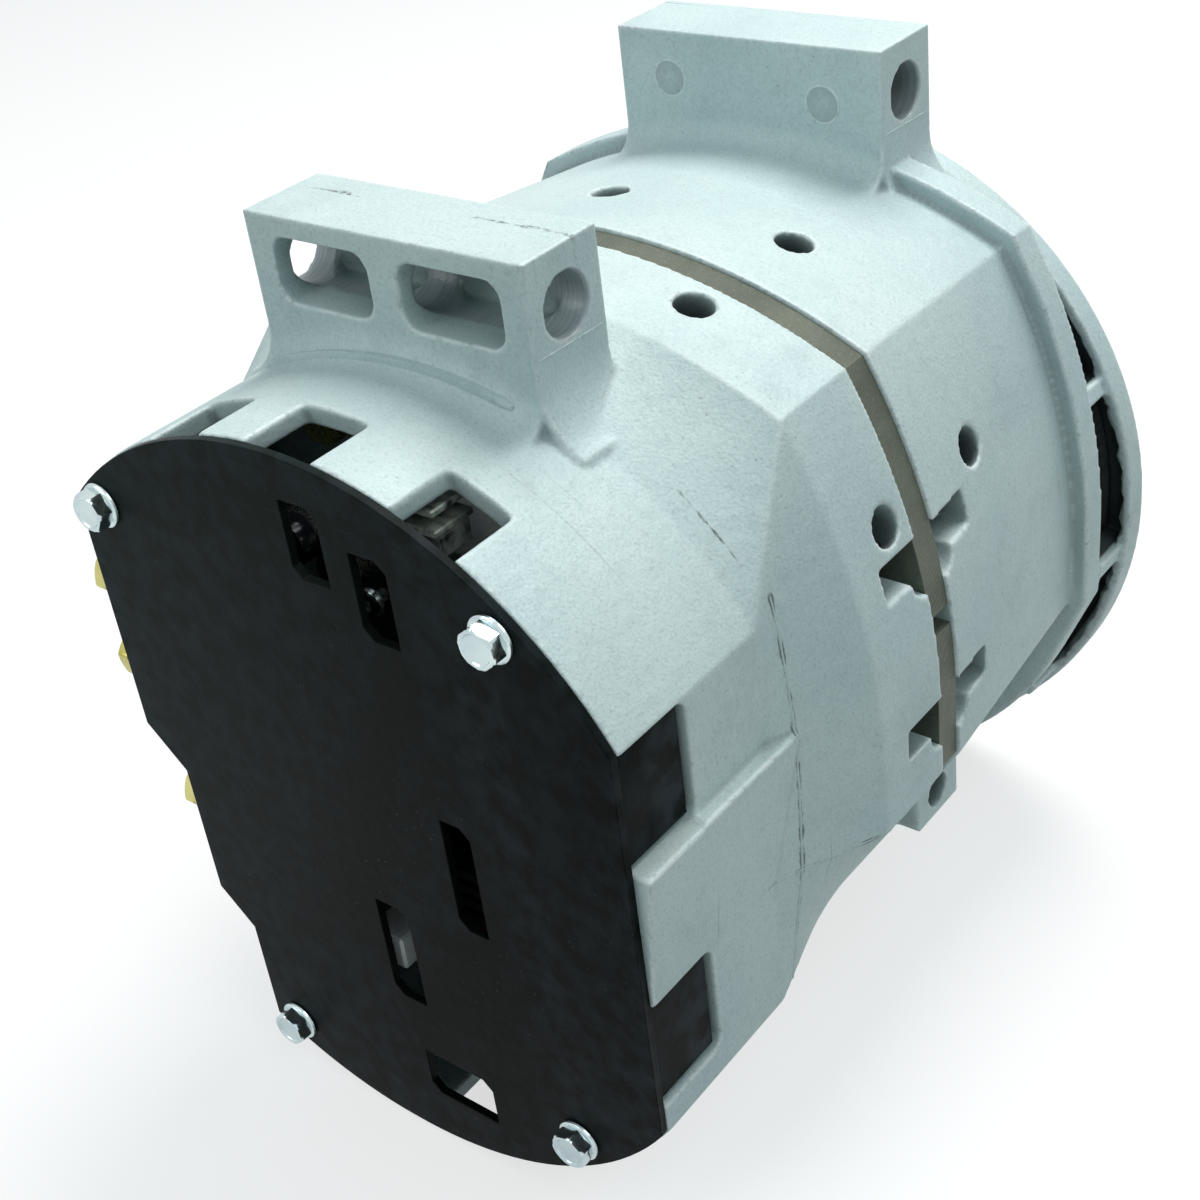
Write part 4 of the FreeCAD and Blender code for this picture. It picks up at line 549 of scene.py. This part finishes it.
class Shape:
    """Points and faces of one piece, gathered from turned and drawn forms."""

    THREAD_STEPS = 6.0            # rings of points in one pitch
    THREAD_DEPTH = 0.6            # share of the pitch
    THREAD_POINT = 0.9            # how much the rod's end is pointed, in mm

    def __init__(self):
        self.points = []
        self.faces = []

    def rings(self, rows, looped=False):
        """Rows of equally many points joined one to the next; open ends are capped."""
        first = len(self.points)
        count = len(rows[0])
        for row in rows:
            self.points.extend(row)
        last = len(rows) if looped else len(rows) - 1
        for step in range(last):
            near = first + step * count
            far = first + (step + 1) % len(rows) * count
            for k in range(count):
                after = (k + 1) % count
                self.faces.append((near + k, near + after, far + after, far + k))
        if not looped:
            self.faces.append(tuple(first + k for k in reversed(range(count))))
            self.faces.append(tuple(first + last * count + k for k in range(count)))

    def about(self, place, axis, rows, looped=False):
        """Rows of (radius, height) points in mm, one to each equal step round an axis."""
        base = Vector((0.0, 0.0, 1.0)).rotation_difference(Vector(axis)).to_matrix()
        made = []
        for row in rows:
            spots = []
            for k, (reach, height) in enumerate(row):
                angle = 2.0 * math.pi * k / len(row)
                spot = Vector((reach * math.cos(angle), reach * math.sin(angle), height))
                spots.append(Vector(place) + base @ spot * MM)
            made.append(spots)
        self.rings(made, looped)

    def turned(self, place, axis, rows, sides=48, looped=False, twist=0.0):
        """Rows of (radius, height, flats) in mm about an axis; flats is half a hexagon's width."""
        made = []
        for radius, height, flats in rows:
            row = []
            for k in range(sides):
                reach = radius
                if flats:
                    angle = 2.0 * math.pi * k / sides
                    bend = (angle + twist) % (math.pi / 3.0) - math.pi / 6.0
                    reach = min(radius, flats / math.cos(bend))
                row.append((reach, height))
            made.append(row)
        self.about(place, axis, made, looped)

    def threaded(self, place, axis, radius, length, pitch, sides=36):
        """Rod with a cut thread, in mm, pointed a little at its end."""
        made = []
        steps = max(2, int(length / pitch * self.THREAD_STEPS))
        for step in range(steps + 1):
            height = length * step / steps
            end = min(radius, radius - self.THREAD_POINT + (length - height))
            row = []
            for k in range(sides):
                phase = (height / pitch - k / sides) % 1.0
                depth = self.THREAD_DEPTH * pitch * abs(2.0 * phase - 1.0)
                row.append((end - depth, height))
            made.append(row)
        self.about(place, axis, made)

    def block(self, low, high, inset):
        """Box between two corners, in mm, with chamfered edges; inset 0 leaves them sharp."""
        (x0, y0, z0), (x1, y1, z1) = low, high
        if not inset:
            self.rings([[Vector(c) * MM for c in ((x0, y, z0), (x1, y, z0), (x1, y, z1),
                                                  (x0, y, z1))] for y in (y0, y1)])
            return
        rows = []
        for less, y in ((inset, y0), (0.0, y0 + inset), (0.0, y1 - inset), (inset, y1)):
            corners = ((x0 + less, y, z0 + inset), (x0 + inset, y, z0 + less),
                       (x1 - inset, y, z0 + less), (x1 - less, y, z0 + inset),
                       (x1 - less, y, z1 - inset), (x1 - inset, y, z1 - less),
                       (x0 + inset, y, z1 - less), (x0 + less, y, z1 - inset))
            rows.append([Vector(c) * MM for c in corners])
        self.rings(rows)

    def mesh(self, name):
        """The gathered faces, turned outwards."""
        mesh = bpy.data.meshes.new(name)
        mesh.from_pydata([tuple(point) for point in self.points], [], self.faces)
        mesh.validate()
        with editing(mesh) as made:
            bmesh.ops.recalc_face_normals(made, faces=made.faces)
        return mesh

    def piece(self, name, slot, body, nodes=(), crease=32.0):
        """The piece in the scene, which stands for the given nodes."""
        mesh = self.mesh(name)
        shade(mesh, True)
        mesh.set_sharp_from_angle(angle=math.radians(crease))
        piece = linked(name, mesh)
        dress(piece, slot)
        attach(piece, body)
        if nodes:
            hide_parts(*nodes)
        return piece


def solid_boxes(name):
    """Low and high corners of each separate solid of a node, highest first, in metres."""
    mesh = NODES[name].data
    seen = {}
    chief = []
    for vertex in mesh.vertices:
        microns = tuple(round(c * 1e6) for c in vertex.co)
        chief.append(seen.setdefault(microns, vertex.index))
    parent = list(range(len(chief)))

    def root(k):
        while parent[k] != k:
            parent[k] = parent[parent[k]]
            k = parent[k]
        return k

    for edge in mesh.edges:
        parent[root(chief[edge.vertices[0]])] = root(chief[edge.vertices[1]])
    groups = {}
    for vertex in mesh.vertices:
        spot = NODES[name].matrix_world @ vertex.co
        groups.setdefault(root(chief[vertex.index]), []).append(spot)
    boxes = []
    for spots in groups.values():
        boxes.append((Vector([min(c[k] for c in spots) for k in range(3)]),
                      Vector([max(c[k] for c in spots) for k in range(3)])))
    return sorted(boxes, key=lambda pair: (-pair[0].z, pair[0].x))


def centre_of(pair):
    return (pair[0] + pair[1]) / 2.0


# ---------------------------------------------------------------- screws and terminals

# Cover screws: round flange, hexagon with a turned crown, and a wide dish.
SCREW_ROWS = [(2.4, -12.9, 0), (2.4, -0.4, 0), (4.6, -0.02, 0), (5.0, 0.12, 0), (5.15, 0.45, 0),
              (5.05, 0.85, 0), (4.7, 1.15, 0), (4.5, 1.25, 4.0), (4.6, 1.5, 4.0),
              (4.6, 3.7, 4.0), (4.45, 4.15, 4.0), (4.15, 4.45, 4.0), (3.85, 4.58, 0),
              (3.5, 4.58, 0), (3.3, 4.48, 0), (3.05, 4.22, 0), (2.5, 4.1, 0), (1.2, 4.05, 0)]
screws = Shape()
for number, pair in enumerate(solid_boxes("cover_screws")):
    spot = centre_of(pair)
    screws.turned((spot.x, COVER_FACE, spot.z), ALONG, SCREW_ROWS, 72, twist=0.35 + number * 0.7)
screws.piece("cover_screw_heads", "zinc_bright", "housing", ["cover_screws"])

# Terminals: flanged insulator, then washer and nut twice on a threaded stud. All in mm.
WASHER = [(4.2, 0.0, 0), (5.6, 0.0, 0), (5.8, 0.2, 0), (5.8, 0.8, 0), (5.6, 1.0, 0), (4.2, 1.0, 0)]
NUT = [(4.05, 0.45, 0), (4.5, 0.0, 0), (5.3, 0.0, 5.2), (5.75, 0.25, 5.2), (6.0, 0.65, 5.2),
       (6.0, 2.95, 5.2), (5.75, 3.35, 5.2), (5.3, 3.6, 5.2), (4.5, 3.6, 0), (4.05, 3.15, 0)]
COLLAR = [(4.05, -2.0, 0), (7.3, -2.0, 0), (7.5, 0.3, 0), (7.5, 1.8, 0), (7.1, 2.2, 0),
          (5.9, 2.3, 0), (5.8, 2.6, 0), (5.5, 2.8, 0), (4.05, 2.8, 0)]
WASHER_TALL = 1.0
NUT_TALL = 3.6
COLLAR_TALL = 2.8
COLLAR_BACK = 6.5                 # from the insulator's outer end back to its collar's seat
STUD_BACK = 3.0                   # from the insulator's inner end in to the stud's
STUD_RADIUS = 4.0
STUD_PITCH = 1.25
STUD_OUT = 1.2                    # thread beyond the outer nut
collars, washers, nuts, studs = Shape(), Shape(), Shape(), Shape()
for number, pair in enumerate(solid_boxes("terminal_insulators")):
    spot = centre_of(pair)
    seat = pair[1].x / MM - COLLAR_BACK
    collars.turned((seat * MM, spot.y, spot.z), ACROSS, COLLAR, looped=True)
    tall = COLLAR_TALL
    for nut in range(2):
        washers.turned(((seat + tall) * MM, spot.y, spot.z), ACROSS, WASHER, looped=True)
        nuts.turned(((seat + tall + WASHER_TALL) * MM, spot.y, spot.z), ACROSS, NUT, 72,
                    looped=True, twist=0.3 + 0.5 * number + 0.45 * nut)
        tall += WASHER_TALL + NUT_TALL
    inner = pair[0].x / MM - STUD_BACK
    studs.threaded((inner * MM, spot.y, spot.z), ACROSS, STUD_RADIUS,
                   seat + tall + STUD_OUT - inner, STUD_PITCH)
collars.piece("terminal_collars", "moulded_brown", "housing", ["terminal_insulators"])
washers.piece("terminal_rings", "zinc_yellow", "housing", ["terminal_washers"])
nuts.piece("terminal_hexagons", "zinc_yellow", "housing", ["terminal_nuts"])
studs.piece("terminal_threads", "zinc_yellow", "housing", ["terminal_studs"], 25.0)

# ---------------------------------------------------------------- cover and what its slots show

WELD = 1e-6
FLAT_WITHIN = math.radians(0.6)
EASED_BEND = math.radians(28.0)   # edges that bend less stay as they are


def notched(mesh, boxes):
    """New mesh with boxes, in mm, taken out of it."""
    cutter = Shape()
    for low, high in boxes:
        cutter.block(low, high, 0.0)
    tool = linked("cutter", cutter.mesh("cutter"))
    part = linked("part", mesh)
    cut = part.modifiers.new("Cut", "BOOLEAN")
    cut.object = tool
    cut.operation = "DIFFERENCE"
    cut.solver = "EXACT"
    result = modified(part)
    for old in (tool, part):
        bpy.data.objects.remove(old)
    return result


def eased(name, width, body="housing", boxes=()):
    """Copy of a node with rounded edges, which stands for it; boxes are cut out of it first."""
    source = NODES[name].data.copy()
    if boxes:
        with editing(source) as made:
            bmesh.ops.remove_doubles(made, verts=made.verts, dist=WELD)
        source = notched(source, boxes)
    with editing(source) as made:
        bmesh.ops.remove_doubles(made, verts=made.verts, dist=WELD)
        bmesh.ops.dissolve_limit(made, angle_limit=FLAT_WITHIN, verts=made.verts,
                                 edges=made.edges)
        for face in made.faces:
            face.smooth = True
    source.set_sharp_from_angle(angle=EASED_BEND)
    piece = linked(name + "_eased", source)
    bevel = piece.modifiers.new("Bevel", "BEVEL")
    bevel.width = width
    bevel.segments = 2
    bevel.limit_method = "ANGLE"
    bevel.angle_limit = EASED_BEND
    bevel.harden_normals = True
    mesh = modified(piece)
    piece.modifiers.clear()
    piece.data = mesh
    dress(piece, SLOT_OF[name])
    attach(piece, body)
    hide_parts(name)
    return piece


# The air round the rectifier's stepped fins, whose corners show in the third notch.
FIN_ROOM = [((-50.0, 178.5, 66.0), (-30.7, 189.0, 90.0)),
            ((-30.7, 178.5, 74.0), (-12.0, 189.0, 90.0)),
            ((-30.7, 178.5, 67.5), (-12.0, 189.0, 72.2))]
FINS = [((-30.7, 177.0, 76.6), (-13.0, 188.0, 78.2)),
        ((-30.7, 177.0, 72.2), (-13.0, 188.0, 73.8))]
eased("rear_cover", 0.5 * MM)
eased("positive_heat_sink", 0.3 * MM, boxes=FIN_ROOM)
fins = Shape()
for low, high in FINS:
    fins.block(low, high, 0.35)
fins.piece("sink_fins", "sink_black", "housing")

# A screw and a can on the rectifier, and a pale block below it.
INNER_SCREW_ROWS = [(1.5, -3.0, 0), (1.5, -0.1, 0), (3.1, 0.0, 0), (3.3, 0.4, 0), (3.1, 1.3, 0),
                    (2.5, 1.9, 0), (1.9, 2.1, 0), (1.7, 2.05, 1.4), (1.6, 1.2, 1.3),
                    (0.4, 1.1, 0)]
CAN_ROWS = [(4.8, -0.5, 0), (5.2, 0.0, 0), (5.4, 0.3, 0), (5.4, 3.6, 0), (5.1, 4.2, 0),
            (4.4, 4.6, 0), (3.2, 4.7, 0), (2.9, 4.4, 0), (0.8, 4.3, 0)]
CONNECTOR = [((-3.6, 180.0, -44.2), (6.5, 195.6, -35.3)),
             ((-2.0, 177.0, -49.5), (4.5, 189.0, -44.6))]
inner_screw = Shape()
inner_screw.turned((-8.6 * MM, SINK_FACE, 51.5 * MM), ALONG, INNER_SCREW_ROWS)
inner_screw.piece("sink_screw", "zinc_bright", "housing")
inner_can = Shape()
inner_can.turned((9.0 * MM, SINK_FACE, 62.0 * MM), ALONG, CAN_ROWS, 56)
inner_can.piece("sink_can", "can_dark", "housing")
connector = Shape()
for low, high in CONNECTOR:
    connector.block(low, high, 0.6)
connector.piece("connector_block", "block_aluminium", "housing")

# ---------------------------------------------------------------- marks of the casting die

# Section of a ridge: share of its half width, and share of its height (below 0 in the casting).
RIDGE = ((-1.0, -0.6), (-0.55, 0.45), (0.0, 1.0), (0.55, 0.45), (1.0, -0.6), (0.0, -1.6))


def surface_under(skin, start, aim):
    """Point and normal where a ray from outside meets a skin, or None."""
    graph = bpy.context.evaluated_depsgraph_get()
    hit, spot, normal, _ = skin.evaluated_get(graph).ray_cast(Vector(start), Vector(aim))
    return (spot, normal) if hit else None


def flash_line(shape, skin, start, end, aim, wide, high, steps, seed, wild):
    """Low ridge along a line, thrown onto the skin from outside; wild is its unevenness."""
    spots = []
    for step in range(steps + 1):
        found = surface_under(skin, Vector(start).lerp(Vector(end), step / steps), aim)
        if found:
            spots.append(found)
        elif len(spots) > 2:
            break
    rows = []
    for k, (spot, normal) in enumerate(spots):
        ahead = spots[min(k + 1, len(spots) - 1)][0] - spots[max(k - 1, 0)][0]
        side = ahead.cross(normal).normalized()
        swell = 0.55 + 0.3 * math.sin(k * 0.9 + seed) + 0.25 * math.sin(k * 2.3 + seed * 1.7)
        swell = 1.0 - wild + wild * max(0.25, swell)
        swell *= min(1.0, k / 3.0 + 0.1, (len(spots) - 1 - k) / 3.0 + 0.1)
        row = []
        for out, rise in RIDGE:
            lift = rise * high * (swell if rise > 0.0 else 1.0)
            row.append(spot + side * (out * wide * (0.7 + 0.3 * swell)) + normal * lift)
        rows.append(row)
    shape.rings(rows)


# Skin, both ends, the rays' way, half width and height in mm, steps, seed and unevenness:
# two lines on the rear flank, one on each beam's end, and the bead behind the rear beam's foot.
FLASH_LINES = [
    (REAR_SKIN, (-0.12, 0.1475, 0.050), (-0.12, 0.1500, -0.062), ACROSS, 0.45, 0.35, 90, 1.0, 1.0),
    (REAR_SKIN, (-0.12, 0.158, -0.016), (-0.12, 0.108, -0.016), ACROSS, 0.40, 0.22, 60, 2.1, 1.0),
    (REAR_SKIN, (-0.12, 0.160, 0.0970), (-0.12, 0.1395, 0.0965), ACROSS, 0.40, 0.30, 26, 9.6, 1.0),
    (DRIVE_SKIN, (-0.12, 0.0345, 0.097), (-0.12, 0.0135, 0.0965), ACROSS, 0.40, 0.30, 26, 2.07,
     1.0),
    (REAR_SKIN, (0.036, 0.1645, 0.0945), (-0.031, 0.1625, 0.0945), DOWN, 1.5, 1.25, 70, 3.0, 0.08)]
flash = Shape()
for skin, start, end, aim, wide, high, steps, seed, wild in FLASH_LINES:
    flash_line(flash, skin, start, end, aim, wide * MM, high * MM, steps, seed, wild)
flash_piece = flash.piece("casting_flash", "housing_cast", "housing", crease=75.0)
flash_piece.data.materials[0] = MATERIALS["cast_plain"]

PIN_ROWS = [(4.7, -0.6, 0), (4.7, 0.02, 0), (4.6, 0.16, 0), (4.25, 0.20, 0), (4.1, 0.06, 0),
            (0.8, 0.05, 0)]
pins = Shape()
for across, up in ((22.0, 105.0), (-21.0, 103.0)):
    pins.turned((across * MM, FRONT_BEAM_REAR, up * MM), ALONG, PIN_ROWS, 40)
pins.piece("ejector_marks", "housing_cast", "housing")

# ---------------------------------------------------------------- floor and light

FLOOR_HALF = 6.0
FLOOR_GAP = 0.3 * MM
FLOOR_TONE = (0.36, 0.37, 0.37)
FLOOR_LIFT = 0.68                 # what makes the floor white where it is seen


def pale_floor():
    """Pale matt floor, lifted to white where it is seen, so that it keeps the shadow."""
    p = Paint("pale_floor", Roughness=0.9, Specular_IOR_Level=0.1,
              Emission_Color=(1.0, 1.0, 1.0))
    cloud = p.span(p.noise(3.0, 2.0), 0.3, 0.7)
    p.set(Base_Color=p.mix(cloud, FLOOR_TONE, tuple(c * 0.985 for c in FLOOR_TONE)),
          Emission_Strength=p.times(p.seen_directly(), FLOOR_LIFT))
    return p.material


drop = cad_box[0].z - FLOOR_GAP
floor_mesh = bpy.data.meshes.new("floor")
floor_mesh.from_pydata([(-FLOOR_HALF, -FLOOR_HALF, drop), (FLOOR_HALF, -FLOOR_HALF, drop),
                        (FLOOR_HALF, FLOOR_HALF, drop), (-FLOOR_HALF, FLOOR_HALF, drop)],
                       [], [(0, 1, 2, 3)])
floor = linked("floor", floor_mesh)
floor_mesh.materials.append(pale_floor())

# The world gives a weak cool light and looks white.
WORLD_LIGHT, WORLD_LIGHT_TONE = 0.28, (0.80, 0.96, 1.0)
WORLD_SEEN, WORLD_SEEN_TONE = 1.0, (0.98, 0.99, 1.0)
world = bpy.data.worlds.new("studio")
world.use_nodes = True
SCENE.world = world
studio = Graph(world.node_tree)
seen = studio.seen_directly()
sky = studio.node("ShaderNodeBackground")
studio.feed(sky.inputs["Color"], studio.mix(seen, WORLD_LIGHT_TONE, WORLD_SEEN_TONE))
studio.feed(sky.inputs["Strength"], studio.span(seen, 0.0, 1.0, WORLD_LIGHT, WORLD_SEEN))
studio.link(sky.outputs[0], studio.node("ShaderNodeOutputWorld").inputs[0])

# Soft boxes: place, side, watts and tone.
LIT = (0.0, 0.10, 0.0)
LAMPS = {"top_light": ((0.02, -0.42, 1.06), 0.6, 12.2, (1.0, 0.97, 0.95)),
         "side_light": ((-0.85, 0.28, 1.05), 0.8, 3.6, (0.94, 1.0, 1.0)),
         "rear_light": ((0.60, 1.25, 0.75), 0.8, 3.8, (0.94, 1.0, 0.98))}
for name, (place, side, watts, tone) in LAMPS.items():
    data = bpy.data.lights.new(name, "AREA")
    data.shape = "SQUARE"
    data.size = side
    data.energy = watts
    data.color = tone
    lamp = linked(name, data)
    lamp.location = place
    aim = Vector(LIT) - Vector(place)
    lamp.rotation_euler = aim.to_track_quat("-Z", "Y").to_euler()

# ---------------------------------------------------------------- camera

# The photo's view, fitted to it: the rotation is given by azimuth, elevation and roll, and the
# eye by its place in the camera's own axes from the cover's middle, in radii of the body.
PHOTO_WIDTH = 1200.0
SENSOR = 36.0
FOCUS = 1848.0                    # in pixels of the photo
AZIMUTH, ELEVATION, ROLL = 3.869695, 0.572949, -0.135068
EYE = Vector((0.585778, 0.513083, 4.321361))
BODY_RADIUS = 0.09
BACK = Vector((math.sin(AZIMUTH) * math.cos(ELEVATION), -math.cos(AZIMUTH) * math.cos(ELEVATION),
               math.sin(ELEVATION)))
RIGHT = Vector((0.0, 0.0, 1.0)).cross(BACK).normalized()
UP = BACK.cross(RIGHT)
rolled_right = math.cos(ROLL) * RIGHT + math.sin(ROLL) * UP
rolled_up = -math.sin(ROLL) * RIGHT + math.cos(ROLL) * UP
turn = Matrix((rolled_right, rolled_up, BACK)).transposed()
eye = turn @ EYE * BODY_RADIUS + Vector((0.0, COVER_FACE, 0.0))
camera_data = bpy.data.cameras.new("camera")
camera_data.sensor_width = SENSOR
camera_data.lens = FOCUS / PHOTO_WIDTH * SENSOR
camera_data.shift_x = 0.0032
camera_data.shift_y = 0.0045
camera_data.clip_start = 0.01
camera_data.clip_end = 50.0
camera = linked("camera", camera_data)
camera.matrix_world = Matrix.Translation(eye) @ turn.to_4x4()
SCENE.camera = camera
SCENE.view_settings.view_transform = "Standard"
